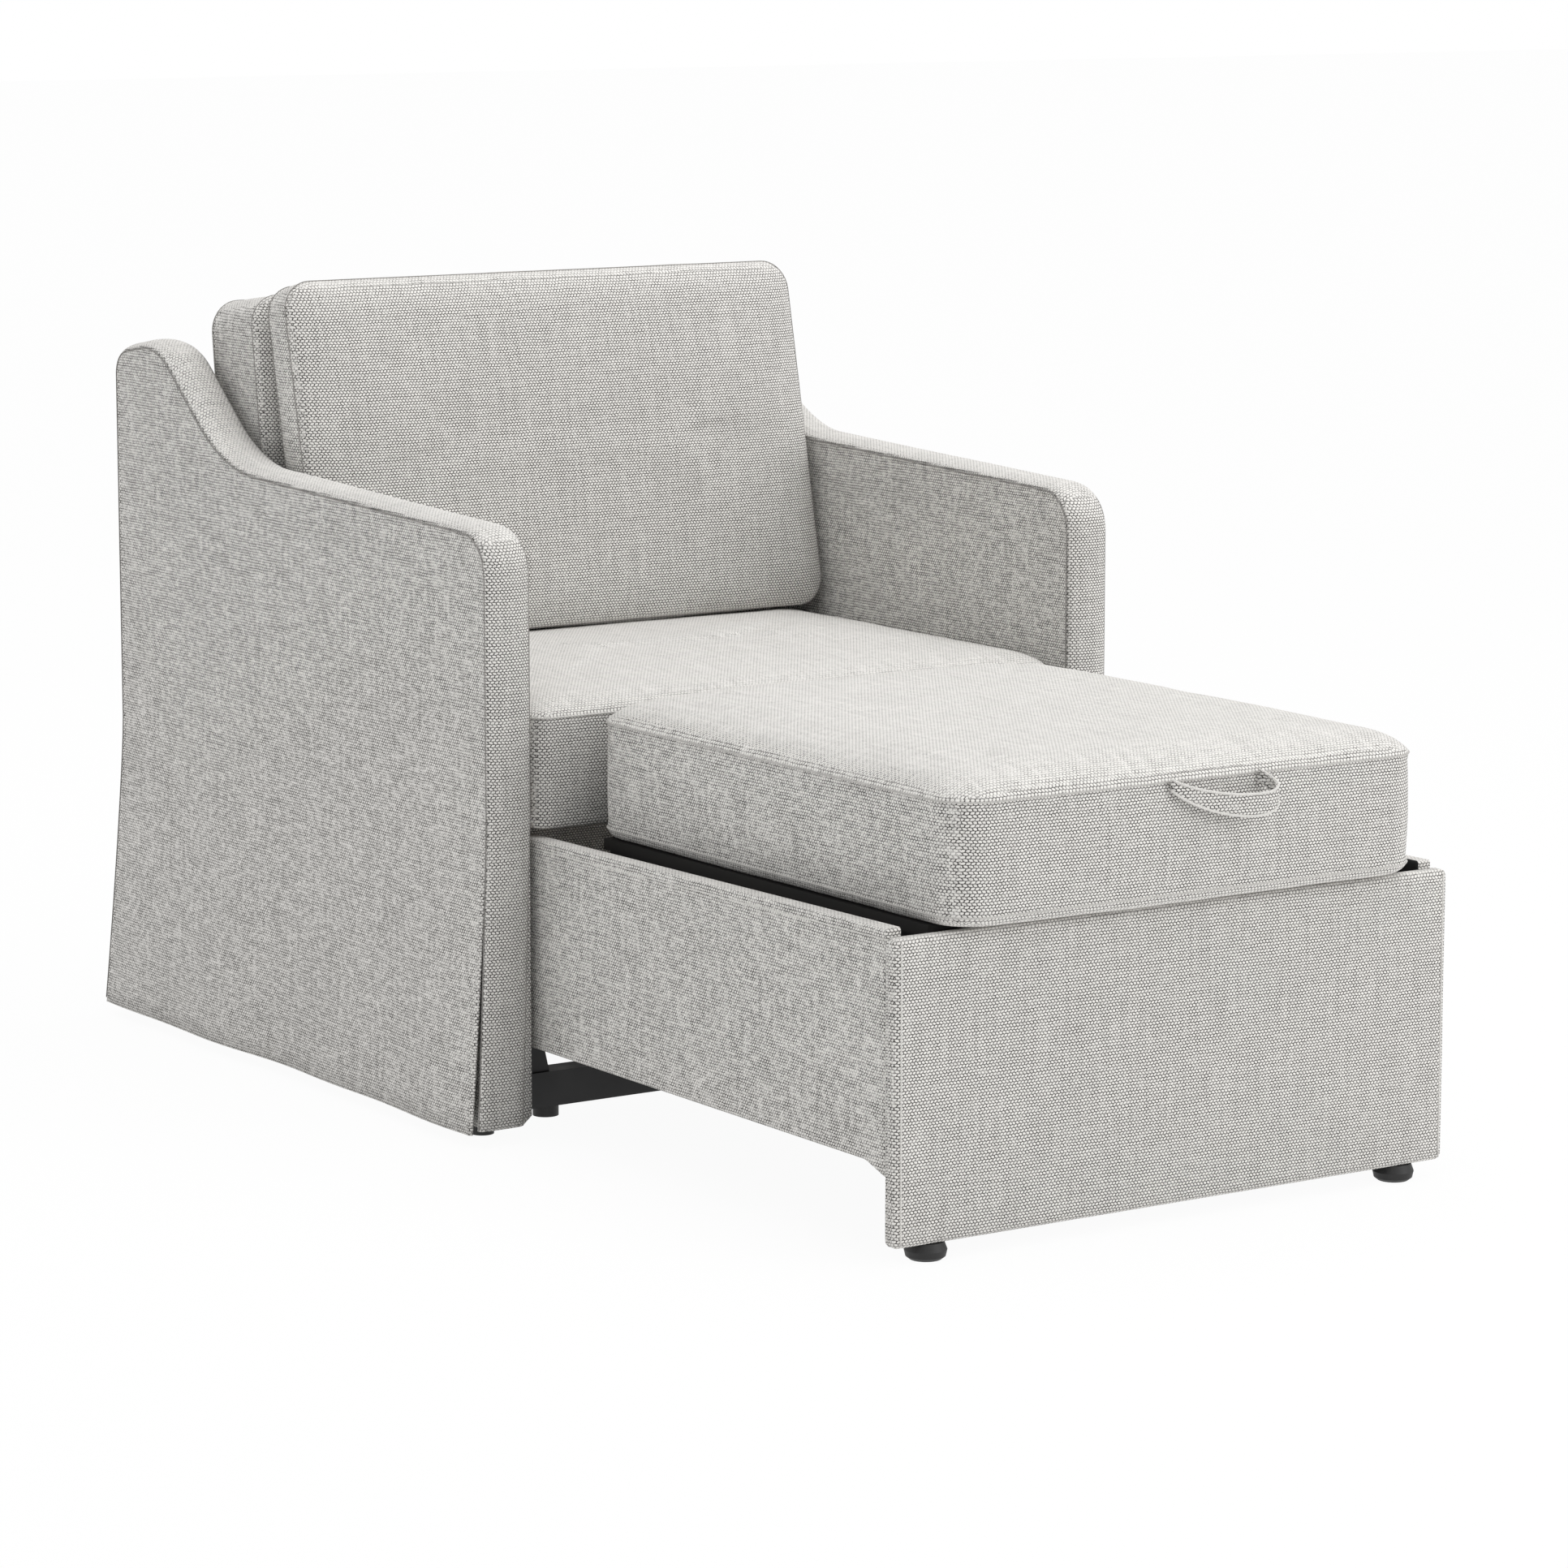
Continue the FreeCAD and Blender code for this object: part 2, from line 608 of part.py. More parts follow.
def back_frame():
    """Timber ladder inside the backrest: two stiles, two rails and slats between."""
    half = back_half - size("back_padding") - size("rest_gap")
    board = back_slab(-half, half, back_board_outline(-size("rest_gap")))
    bays = int(size("back_bays"))
    stile = size("back_stile")
    pitch = (2 * half - stile) / bays
    turn = size("window_corner")
    low = size("window_low")
    high = size("back_height") - size("window_high")
    rear = size("back_board") + turn
    for i in range(bays):
        left = -half + stile + pitch * i
        opening = [(-turn, low, turn / 2), (rear, low, turn / 2), (rear, high, turn / 2), (-turn, high, turn / 2)]
        board = board.cut(back_slab(left, left + pitch - stile, opening))
    return board


shaped("back_cover", back_cover())
shaped("back_frame", back_frame())


# Reclining hinges at both sides of the backrest

def hinge_plates(inner, arm_length, arm_turn, bore):
    """A round leaf on each side with an arm, bored for the hinge pin."""
    plates = []
    radius = size("leaf_radius")
    for side in (-1, 1):
        start = inner if side > 0 else -inner - size("leaf_thickness")
        disc = cylinder((start, hinge.y, hinge.z), (1, 0, 0), radius, size("leaf_thickness"))
        arm = Part.makeBox(size("leaf_thickness"), radius, arm_length, V(start, hinge.y - radius / 2, hinge.z))
        arm.rotate(hinge, V(1, 0, 0), arm_turn)
        leaf = disc.fuse(arm)
        hole = cylinder((start - 1, hinge.y, hinge.z), (1, 0, 0), bore, size("leaf_thickness") + 2)
        plates.append(leaf.cut(hole))
    return Part.makeCompound(plates)


pin_radius = size("pivot_diameter") / 2
fixed_leaf = arm_inner - size("leaf_thickness")
shaped("hinge_fixed_leaves", hinge_plates(fixed_leaf, size("fixed_arm"), size("fixed_turn"), pin_radius))
shaped("hinge_moving_leaves", hinge_plates(back_half, size("moving_arm"), -size("back_lean"),
                                           pin_radius + size("pin_play")))


def hinge_pins():
    pins = []
    for side in (-1, 1):
        start = V(side * back_half, hinge.y, hinge.z)
        pins.append(Part.makeCylinder(pin_radius, arm_inner - back_half, start, V(side, 0, 0)))
    return Part.makeCompound(pins)


shaped("hinge_pins", hinge_pins())


# Loose back cushion leaning on the backrest

pillow_tilt = math.radians(size("pillow_lean"))
pillow_foot = hinge.y - size("pillow_to_hinge")
PILLOW_CROWN = ((0.35, 0.15), (0.75, 0.5), (1, 1))


def on_pillow(p):
    """From the cushion's own width, height and thickness to the chair."""
    up = p.y + size("pillow_height") / 2
    return V(p.x, pillow_foot + up * math.sin(pillow_tilt) - p.z * math.cos(pillow_tilt),
             size("seat_seam") + size("pillow_seat") + up * math.cos(pillow_tilt) + p.z * math.sin(pillow_tilt))


def back_cushion():
    half_w = arm_inner - size("pillow_side_gap")
    band = size("pillow_band") / 2
    edge = size("cloth") / 2
    levels = crowned(-band, -size("pillow_back_crown"), size("pillow_run"), PILLOW_CROWN)[::-1]
    levels += [(-band, edge, 0), (0, 0, 2), (band, edge, 0)]
    levels += crowned(band, size("pillow_crown"), size("pillow_run"), PILLOW_CROWN)
    return cushion_solid(half_w, size("pillow_height") / 2, size("pillow_corner"), levels, on_pillow)


shaped("back_cushion", back_cushion())


# Pull-out box: front panel, sides, rear board and floor

def front_panel_body():
    """Padded front panel: a rectangle padded to its thickness, with rounded edges."""
    body = doc.addObject("PartDesign::Body", "front_panel_cover")
    sketch = body.newObject("Sketcher::SketchObject", "front_panel_sketch")
    plane = [f for f in body.Origin.OriginFeatures if f.Role == "XZ_Plane"][0]
    sketch.AttachmentSupport = [(plane, "")]
    sketch.MapMode = "FlatFace"
    add_rectangle(sketch, "2 * (%s - Sizes.panel_side_gap)" % ARM_INNER, "Sizes.panel_top - Sizes.panel_bottom")
    pad = body.newObject("PartDesign::Pad", "front_panel_pad")
    pad.Profile = sketch
    pad.Reversed = True
    pad.setExpression("Length", "Sizes.panel_thickness")
    doc.recompute()
    fillet = body.newObject("PartDesign::Fillet", "front_panel_rounding")
    fillet.Base = (pad, all_edges(pad.Shape))
    fillet.Radius = size("panel_round")
    fillet.setExpression("Radius", "Sizes.panel_round")
    body.setExpression(".Placement.Base.y", "-" + MIDDLE)
    body.setExpression(".Placement.Base.z", "(Sizes.panel_top + Sizes.panel_bottom) / 2")
    return body


def all_edges(shape):
    return ["Edge%d" % (i + 1) for i in range(len(shape.Edges))]


def add_rectangle(sketch, width, height):
    """Centred rectangle whose width and height are bound to the sheet."""
    half = 10
    corners = [V(-half, -half, 0), V(half, -half, 0), V(half, half, 0), V(-half, half, 0)]
    for i in range(4):
        sketch.addGeometry(Part.LineSegment(corners[i], corners[(i + 1) % 4]), False)
    for i in range(4):
        sketch.addConstraint(Sketcher.Constraint("Coincident", i, 2, (i + 1) % 4, 1))
    for line, kind in ((0, "Horizontal"), (2, "Horizontal"), (1, "Vertical"), (3, "Vertical")):
        sketch.addConstraint(Sketcher.Constraint(kind, line))
    sketch.addConstraint(Sketcher.Constraint("Symmetric", 0, 1, 2, 1, -1, 1))
    wide = sketch.addConstraint(Sketcher.Constraint("DistanceX", 0, 1, 0, 2, 20))
    tall = sketch.addConstraint(Sketcher.Constraint("DistanceY", 1, 1, 1, 2, 20))
    sketch.setExpression("Constraints[%d]" % wide, width)
    sketch.setExpression("Constraints[%d]" % tall, height)


panel_body = front_panel_body()
keep("front_panel", panel_body)

SIDE_IN = "(%s - Sizes.box_side_gap - Sizes.side_thickness)" % ARM_INNER


def box_side():
    """Covered side board: top edge falling to the rear, stepped lower front corner."""
    front = size("panel_thickness")
    low = size("side_bottom")
    step = size("side_step")
    end = size("box_length")
    corner = size("cloth")
    heel = front + size("step_run")
    toe = heel + size("step_slant")
    outline = [(front, low + step, corner), (heel, low + step, 2 * corner), (toe, low, 5 * corner),
               (end, low, corner), (end, size("side_top") - size("side_fall"), corner),
               (front, size("side_top"), corner)]
    wire = rounded_outline(outline, lambda p: V(side_inner, p.x, p.y))
    return Part.Face(wire).extrude(V(size("side_thickness"), 0, 0))


right_side = box_side()
shaped("box_side_right", right_side)
shaped("box_side_left", mirrored(right_side))
BOARD_FRONT = "Sizes.box_length - Sizes.rear_board_thickness"
FLOOR_LOW = "Sizes.side_bottom + Sizes.floor_rise"
keep("box_rear_board", block("box_rear_board", ("-" + SIDE_IN, BOARD_FRONT, "Sizes.side_bottom"),
                             (SIDE_IN, "Sizes.box_length", "Sizes.side_bottom + Sizes.rear_board_height")))
keep("box_floor", block("box_floor", ("-" + SIDE_IN, "Sizes.panel_thickness", FLOOR_LOW),
                        (SIDE_IN, BOARD_FRONT, FLOOR_LOW + " + Sizes.floor_thickness")))
keep("panel_batten", block("panel_batten",
                           ("-" + SIDE_IN, "Sizes.panel_thickness", "Sizes.panel_bottom + Sizes.batten_rise"),
                           (SIDE_IN, "Sizes.panel_thickness + Sizes.batten_depth", FLOOR_LOW)))


def front_glides():
    """Domed black glides under the batten and the panel."""
    radius = size("glide_diameter") / 2
    top = size("panel_bottom")
    glides = []
    for side in (-1, 1):
        profile = [V(0, 0, 0), V(radius * 0.74, 0, 0), V(radius * 0.93, 0, top * 0.18),
                   V(radius, 0, top * 0.55), V(radius * 0.86, 0, top), V(0, 0, top)]
        outline = Part.makePolygon(profile + [profile[0]])
        glide = Part.Face(outline).revolve(V(0, 0, 0), V(0, 0, 1), 360)
        glide.translate(V(side * (half_box - size("glide_inset")), size("glide_depth"), 0))
        glides.append(glide)
    return Part.makeCompound(glides)


shaped("front_glides", front_glides())


# Rear trestle of the box: a floor rail on slanted legs

trestle_depth = size("box_length") - size("trestle_inset")


def trestle():
    width = size("trestle_width")
    low = size("trestle_glide")
    high = low + size("trestle_height")
    half = half_box - size("trestle_side_gap")
    rail = box_solid((-half, trestle_depth - width / 2, low), (half, trestle_depth + width / 2, high))
    foot_out = half - size("leg_spread") / 2
    foot_in = foot_out - size("leg_width")
    top_out = foot_out + size("leg_spread")
    top_in = foot_in + size("leg_spread")
    leg_front = trestle_depth - size("leg_depth") / 2
    leg_top = size("side_bottom") + size("floor_rise")
    legs = []
    for side in (-1, 1):
        points = [V(side * foot_out, leg_front, high - 1), V(side * foot_in, leg_front, high - 1),
                  V(side * top_in, leg_front, leg_top), V(side * top_out, leg_front, leg_top)]
        face = Part.Face(Part.makePolygon(points + [points[0]]))
        legs.append(face.extrude(V(0, size("leg_depth"), 0)))
    return rail.fuse(legs).removeSplitter()


shaped("rear_trestle", trestle())


def trestle_glides():
    place = half_box - size("rest_inset")
    glides = [cylinder((side * place, trestle_depth, 0), (0, 0, 1), size("rest_diameter") / 2,
                       size("trestle_glide")) for side in (-1, 1)]
    return Part.makeCompound(glides)


shaped("trestle_glides", trestle_glides())


# Guide pads between the arms and the box sides

def guide_pads():
    """Pads on the arms' inner faces, over the middle of the part of the box that stays between them."""
    start = arm_front + 0.4 * size("box_overlap")
    end = arm_front + 0.8 * size("box_overlap")
    low = size("pad_low")
    pads = []
    for side in (-1, 1):
        near = side * (half_box + size("rest_gap"))
        far = side * arm_inner
        pads.append(box_solid((min(near, far), start, low), (max(near, far), end, low + size("pad_height"))))
    return Part.makeCompound(pads)


shaped("guide_pads", guide_pads())


# Four parallel links that lift the platform

link_places = [("front", platform_front + size("link_front_inset")),
               ("rear", platform_rear - size("link_rear_inset"))]


def link_bar(x, foot_y):
    """Flat bar with rounded ends and an eye at each end, standing at its raised angle."""
    half = size("link_width") / 2
    thick = size("link_thickness")
    foot = V(x, foot_y, foot_of_link)
    head = V(x, foot_y + link_run, foot_of_link + link_rise)
    along = (head - foot).normalize()
    across = V(0, along.z, -along.y)
    corners = [foot + across * half, head + across * half, head - across * half, foot - across * half]
    edges = [Part.LineSegment(corners[0], corners[1]).toShape(),
             Part.Arc(corners[1], head + along * half, corners[2]).toShape(),
             Part.LineSegment(corners[2], corners[3]).toShape(),
             Part.Arc(corners[3], foot - along * half, corners[0]).toShape()]
    bar = Part.Face(Part.Wire(edges)).extrude(V(thick, 0, 0))
    for eye in (foot, head):
        bar = bar.cut(cylinder((x - 1, eye.y, eye.z), (1, 0, 0), pin_radius + size("pin_play"), thick + 2))
    return bar


link_inside = link_centre - size("link_thickness") / 2
for place, foot_y in link_places:
    right_link = link_bar(link_inside, foot_y)
    shaped("%s_link_right" % place, right_link)
    shaped("%s_link_left" % place, mirrored(right_link))


def foot_pivots():
    """Brackets on the box sides, each with the pin that its link turns on."""
    pieces = []
    for place, foot_y in link_places:
        half = size("bracket_width") / 2
        plate_x = side_inner - size("bracket_plate")
        plate = box_solid((plate_x, foot_y - half, foot_of_link - size("bracket_low")),
                          (side_inner, foot_y + half, foot_of_link + size("bracket_high")))
        start = link_inside - size("pin_proud")
        pin = cylinder((start, foot_y, foot_of_link), (1, 0, 0), pin_radius, plate_x - start)
        bracket = plate.fuse(pin)
        pieces.append(bracket)
        pieces.append(mirrored(bracket))
    return Part.makeCompound(pieces)


shaped("link_brackets", foot_pivots())


# Platform: plywood board on two side rails that carry the upper pins

board_top = size("cushion_underside") - size("rest_gap")
board_bottom = board_top - size("platform_board")


def platform_rails():
    rails = []
    for side in (-1, 1):
        near = side * platform_half
        far = side * (platform_half - size("bearer_width"))
        rail = box_solid((min(near, far), platform_front + size("bearer_front"),
                          size("pivot_level") - size("bearer_low")),
                         (max(near, far), platform_rear - size("bearer_rear"), board_bottom))
        rails.append(rail)
    return Part.makeCompound(rails)


shaped("platform_rails", platform_rails())
shaped("platform_board", box_solid((-platform_half, platform_front, board_bottom),
                                   (platform_half, platform_rear, board_top)))


def head_pins():
    """Pins that the links carry the platform on; the rear ones are thinner, for their open pivot."""
    pins = []
    for place, foot_y in link_places:
        slack = size("open_play") if place == "rear" else 0
        end = link_inside + size("link_thickness") + size("pin_proud")
        pin = cylinder((platform_half, foot_y + link_run, size("pivot_level")), (1, 0, 0),
                       pin_radius - slack, end - platform_half)
        pins.append(pin)
        pins.append(mirrored(pin))
    return Part.makeCompound(pins)


shaped("link_head_pins", head_pins())


# Extension cushion with its pull tab

def extension_cushion():
    start = -size("cushion_overhang")
    half_d = (arm_front - size("cushion_rear_gap") - start) / 2
    low = size("cushion_underside")
    seam = size("cushion_seam")
    bulge = size("cloth")
    levels = [(low, 3 * bulge, 0), (low + 3 * bulge, 0, 1), ((low + seam) / 2, 0, bulge),
              (seam, bulge / 2, 0)]
    levels += crowned(seam, size("cushion_crown"), size("cushion_run"), CROWN)
    return cushion_solid(cushion_half, half_d, size("cushion_corner"), levels,
                         lambda p: V(p.x, p.y + start + half_d, p.z))


shaped("extension_cushion", extension_cushion())


def pull_tab():
    """Strap handle: both ends sewn to the front seam, the middle drooping outwards."""
    thick = size("tab_thickness")
    start = size("tab_start")
    half = size("tab_height") / 2
    sections = []
    steps = 10
    for i in range(steps + 1):
        share = i / steps
        swing = math.sin(math.pi * share)
        slope = math.pi * math.cos(math.pi * share)
        reach = size("tab_reach") - thick / 2
        centre = V(size("tab_left") + size("tab_width") * share,
                   -size("cushion_overhang") - start - (reach - start) * swing,
                   size("cushion_seam") - size("tab_seam_drop") - size("tab_droop") * swing)
        along = V(size("tab_width"), -reach * slope, 0).normalize()
        out = V(along.y, -along.x, 0)
        corners = [centre + out * (thick / 2) + V(0, 0, half), centre - out * (thick / 2) + V(0, 0, half),
                   centre - out * (thick / 2) - V(0, 0, half), centre + out * (thick / 2) - V(0, 0, half)]
        sections.append(Part.makePolygon(corners + [corners[0]]))
    return Part.makeLoft(sections, True, True)


shaped("pull_tab", pull_tab())


# Check every object, then write each sub-part to its own file

doc.recompute()
for thing in doc.Objects:
    if "Invalid" in thing.State or "Error" in thing.State:
        raise RuntimeError("%s failed: %s" % (thing.Name, thing.State))
os.makedirs("parts", exist_ok=True)
for name, thing in parts.items():
    shape = thing.Shape
    if shape.isNull() or not shape.isValid() or shape.Volume <= 0:
        raise RuntimeError("%s has no valid solid" % name)
    shape.exportStep("parts/%s.step" % name)
whole = Part.makeCompound([thing.Shape for thing in parts.values()]).BoundBox
print("pieces %d, x %.2f %.2f, y %.2f %.2f, z %.2f %.2f" % (
    len(parts), whole.XMin, whole.XMax, whole.YMin, whole.YMax, whole.ZMin, whole.ZMax))
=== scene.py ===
"""Convertible chair bed in light grey basket weave: a skirted armchair with sloping arms,
a reclining back with a loose cushion, and a pull-out box whose cushion stands at seat height."""
import math

import bmesh
import bpy
import numpy as np
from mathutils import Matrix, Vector, geometry, noise


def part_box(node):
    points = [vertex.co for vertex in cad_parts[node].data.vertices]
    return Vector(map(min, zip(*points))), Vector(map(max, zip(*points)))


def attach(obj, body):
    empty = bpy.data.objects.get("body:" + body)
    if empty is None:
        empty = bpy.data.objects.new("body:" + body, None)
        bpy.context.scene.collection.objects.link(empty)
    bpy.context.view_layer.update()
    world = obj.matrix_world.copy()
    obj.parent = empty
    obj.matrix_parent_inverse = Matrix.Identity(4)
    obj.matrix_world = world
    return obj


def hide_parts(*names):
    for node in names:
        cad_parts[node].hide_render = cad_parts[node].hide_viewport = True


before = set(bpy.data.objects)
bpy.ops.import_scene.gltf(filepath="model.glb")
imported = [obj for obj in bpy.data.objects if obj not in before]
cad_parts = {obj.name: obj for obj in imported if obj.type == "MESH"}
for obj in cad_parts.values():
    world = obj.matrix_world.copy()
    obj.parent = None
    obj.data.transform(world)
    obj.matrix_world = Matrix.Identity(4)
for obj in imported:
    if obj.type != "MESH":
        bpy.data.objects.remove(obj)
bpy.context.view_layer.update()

# Camera
# The chair bed is seen from its left front, from just above the height of the backrest,
# through a long lens. Places are measured from the face of the pull-out front panel.
panel_low, panel_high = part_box("front_panel")
panel_face = panel_low.y
camera_data = bpy.data.cameras.new("studio_camera")
camera_data.sensor_width = 36.0
camera_data.lens = 124.29
camera = bpy.data.objects.new("studio_camera", camera_data)
camera.location = (-3.19892, panel_face - 4.08239, 1.28360)
camera.rotation_euler = (math.radians(80.6823), 0.0, math.radians(-33.8006))
bpy.context.collection.objects.link(camera)
bpy.context.scene.camera = camera


# Extension cushion
# The cushion of the pull-out box: thick foam in a boxed cover of pale grey basket weave. A top
# and a bottom panel are joined to a band by welted seams, and swell from them to their crowns.
class Flow:
    """A value, colour or vector on its way through a material."""

    def __init__(self, tree, socket):
        self.tree = tree
        self.socket = socket

    @staticmethod
    def node(tree, kind, settings=None, inputs=None, output=0):
        """A node of a type with its settings, then its sockets; gives one output, or several."""
        node = tree.nodes.new(kind)
        for name, value in (settings or {}).items():
            setattr(node, name, value)
        for name, value in (inputs or {}).items():
            if isinstance(value, Flow):
                tree.links.new(value.socket, node.inputs[name])
            else:
                node.inputs[name].default_value = value
        if isinstance(output, tuple):
            return [Flow(tree, node.outputs[each]) for each in output]
        return Flow(tree, node.outputs[output])

    def maths(self, operation, *values):
        return Flow.node(self.tree, "ShaderNodeMath", {"operation": operation}, dict(enumerate(values)))

    def __add__(self, other):
        return self.maths("ADD", self, other)

    def __radd__(self, other):
        return self.maths("ADD", other, self)

    def __sub__(self, other):
        return self.maths("SUBTRACT", self, other)

    def __rsub__(self, other):
        return self.maths("SUBTRACT", other, self)

    def __mul__(self, other):
        return self.maths("MULTIPLY", self, other)

    def __rmul__(self, other):
        return self.maths("MULTIPLY", other, self)

    def __truediv__(self, other):
        return self.maths("DIVIDE", self, other)

    def __rtruediv__(self, other):
        return self.maths("DIVIDE", other, self)

    def __pow__(self, other):
        return self.maths("POWER", self, other)

    def __rpow__(self, other):
        return self.maths("POWER", other, self)

    def __abs__(self):
        return self.maths("ABSOLUTE", self)

    def over(self, limit):
        return self.maths("GREATER_THAN", self, limit)

    def floored(self):
        return self.maths("FLOOR", self)

    def wave(self):
        return self.maths("SINE", self * math.pi)

    def clamped(self):
        return Flow.node(self.tree, "ShaderNodeClamp", {}, {0: self})


def new_material(name):
    material = bpy.data.materials.new(name)
    material.use_nodes = True
    tree = material.node_tree
    return material, tree, tree.nodes["Principled BSDF"]


def feed(flow, node, name):
    flow.tree.links.new(flow.socket, node.inputs[name])


def place_on(tree):
    """The place on a piece, in metres."""
    return Flow.node(tree, "ShaderNodeTexCoord", output="Object")


def split(vector):
    return Flow.node(vector.tree, "ShaderNodeSeparateXYZ", {}, {0: vector}, (0, 1, 2))


def join(x, y, z):
    return Flow.node(x.tree, "ShaderNodeCombineXYZ", {}, {0: x, 1: y, 2: z})


def clouds(place, scale, detail=2.0, distortion=0.0):
    """Cloudy noise from 0 to 1 at a place."""
    sockets = {"Vector": place, "Scale": scale, "Detail": detail, "Distortion": distortion}
    return Flow.node(place.tree, "ShaderNodeTexNoise", {}, sockets)


def mixed(amount, first, second):
    """Colour between two colours."""
    return Flow.node(amount.tree, "ShaderNodeMix", {"data_type": "RGBA"}, {0: amount, 6: first, 7: second}, 2)


def bumped(height, strength, distance):
    sockets = {"Height": height, "Strength": strength, "Distance": distance}
    return Flow.node(height.tree, "ShaderNodeBump", {}, sockets)


def weave_material(name, pale, dark, gap_share, across=4.1, down=3.0):
    """Basket weave, two yarns over two: plump pale beads in staggered rows, the small gaps between
    them painted dark as shade in their pits, less so on faces that look up, and slubs along the
    cloth. It is laid in millimetres on whichever way each part of the surface faces, and across and
    down are the size of a bead."""
    material, tree, shader = new_material(name)
    place = place_on(tree)
    x, y, z = [axis * 1000.0 for axis in split(place)]
    nx, ny, nz = [abs(axis) for axis in split(Flow.node(tree, "ShaderNodeTexCoord", output="Normal"))]
    on_side = (nx - ny).over(0.0) * (nx - nz).over(0.0)
    on_top = (nz - nx).over(0.0) * (nz - ny).over(0.0)
    on_front = (1.0 - on_side) * (1.0 - on_top)
    along = on_side * y + (1.0 - on_side) * x
    up = on_top * y + (1.0 - on_top) * z

    wander = clouds(place, 38.0)
    v = (up + (wander - 0.5) * 1.8) / down
    row = v.floored()
    odd = row * 0.5 - (row * 0.5).floored()
    u = (along + (wander - 0.5) * 2.2) / across + odd
    column = u.floored()
    in_u = u - column
    in_v = v - row
    lean = (in_v - 0.5) * (odd * 4.0 - 1.0) * 0.28
    bead = (abs((in_u + lean).wave()) ** 0.75) * (abs(in_v.wave()) ** 0.6)

    cell = join(column, row, on_side + on_top * 2.0)
    chance = Flow.node(tree, "ShaderNodeTexWhiteNoise", {}, {"Vector": cell})
    slub = clouds(join(along * 0.22, up * 0.012, on_side * 5.0), 1.0, 3.0)
    cross = clouds(join(along * 0.02, up * 0.3, on_front * 7.0), 1.0)
    speck = clouds(join(along * 0.62, up * 0.50, on_side * 3.0), 1.0)
    shade = (slub - 0.5) * (0.40 + on_side * 0.2) + (cross - 0.5) * (0.34 + on_side * 0.3)
    shade = shade - (chance - 0.5) * (on_side * 0.22 - 0.10)
    # Painted shade in the gaps between beads, darker on faces that look forwards; dark flecks of yarn are
    # added to it next.
    gap = ((gap_share - bead) * 3.0).clamped() * (0.34 + on_front * 0.36 + chance * (0.90 - on_front * 0.40))
    gap = gap + ((speck - 0.53) * 5.0).clamped() * (0.42 + on_side * 0.1)
    # The painted shade in the gaps, and the flecks with it, fade to half on faces that look up, as if light
    # from above filled the pits.
    gap = (gap * (1.0 - nz * nz * 0.5) - shade * 0.8).clamped()

    tone = shade * 0.16 + 1.0
    grey = Flow.node(tree, "ShaderNodeCombineColor", {}, {0: tone, 1: tone, 2: tone})
    settings = {"data_type": "RGBA", "blend_type": "MULTIPLY"}
    toned = Flow.node(tree, "ShaderNodeMix", settings, {0: 1.0, 6: mixed(gap, pale, dark), 7: grey}, 2)
    feed(toned, shader, "Base Color")
    feed(bumped(bead + shade * 0.4, 0.75, 0.0008), shader, "Normal")
    shader.inputs["Roughness"].default_value = 0.92
    shader.inputs["Specular IOR Level"].default_value = 0.25
    shader.inputs["Sheen Weight"].default_value = 0.16
    shader.inputs["Sheen Roughness"].default_value = 0.6
    shader.inputs["Sheen Tint"].default_value = (0.9, 0.89, 0.87, 1.0)
    return material


pale_yarn = (0.820, 0.802, 0.772, 1.0)
# The colour of the gaps is painted shade, as in the pits of the weave.
painted_pit_shade = (0.060, 0.056, 0.052, 1.0)
upholstery = weave_material("grey_basket_weave", pale_yarn, painted_pit_shade, 0.60)
seam_pale = (0.60, 0.585, 0.56, 1.0)
seam_dark = (0.30, 0.29, 0.28, 1.0)
seam_cloth = weave_material("grey_seam_fold", seam_pale, seam_dark, 0.35, 2.0, 2.0)


def mesh_object(name, points, faces, material):
    """A smooth piece from points and faces."""
    mesh = bpy.data.meshes.new(name)
    mesh.from_pydata([tuple(p) for p in points], [], faces)
    mesh.update()
    mesh.polygons.foreach_set("use_smooth", [True] * len(mesh.polygons))
    piece = bpy.data.objects.new(name, mesh)
    bpy.context.collection.objects.link(piece)
    piece.data.materials.append(material)
    return piece


def loop_faces(rows, count, closed=True):
    """Quads between consecutive rows of count points."""
    faces = []
    last = count if closed else count - 1
    for r in range(rows - 1):
        for c in range(last):
            n = (c + 1) % count
            faces.append((r * count + c, r * count + n, (r + 1) * count + n, (r + 1) * count + c))
    return faces


def outward(piece):
    """Faces point out of the piece."""
    work = bmesh.new()
    work.from_mesh(piece.data)
    bmesh.ops.recalc_face_normals(work, faces=work.faces)
    work.to_mesh(piece.data)
    work.free()


def finish_piece(piece, body, nodes=()):
    """Fix a piece to its body, and hide the nodes that it stands for."""
    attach(piece, body)
    if nodes:
        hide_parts(*nodes)
    return piece


def ripple(point, scale, seed):
    """Smooth noise at a place, about -1 to 1."""
    return noise.noise(Vector(point) * scale + Vector((seed * 7.3, seed * 3.1, seed * 5.7)))


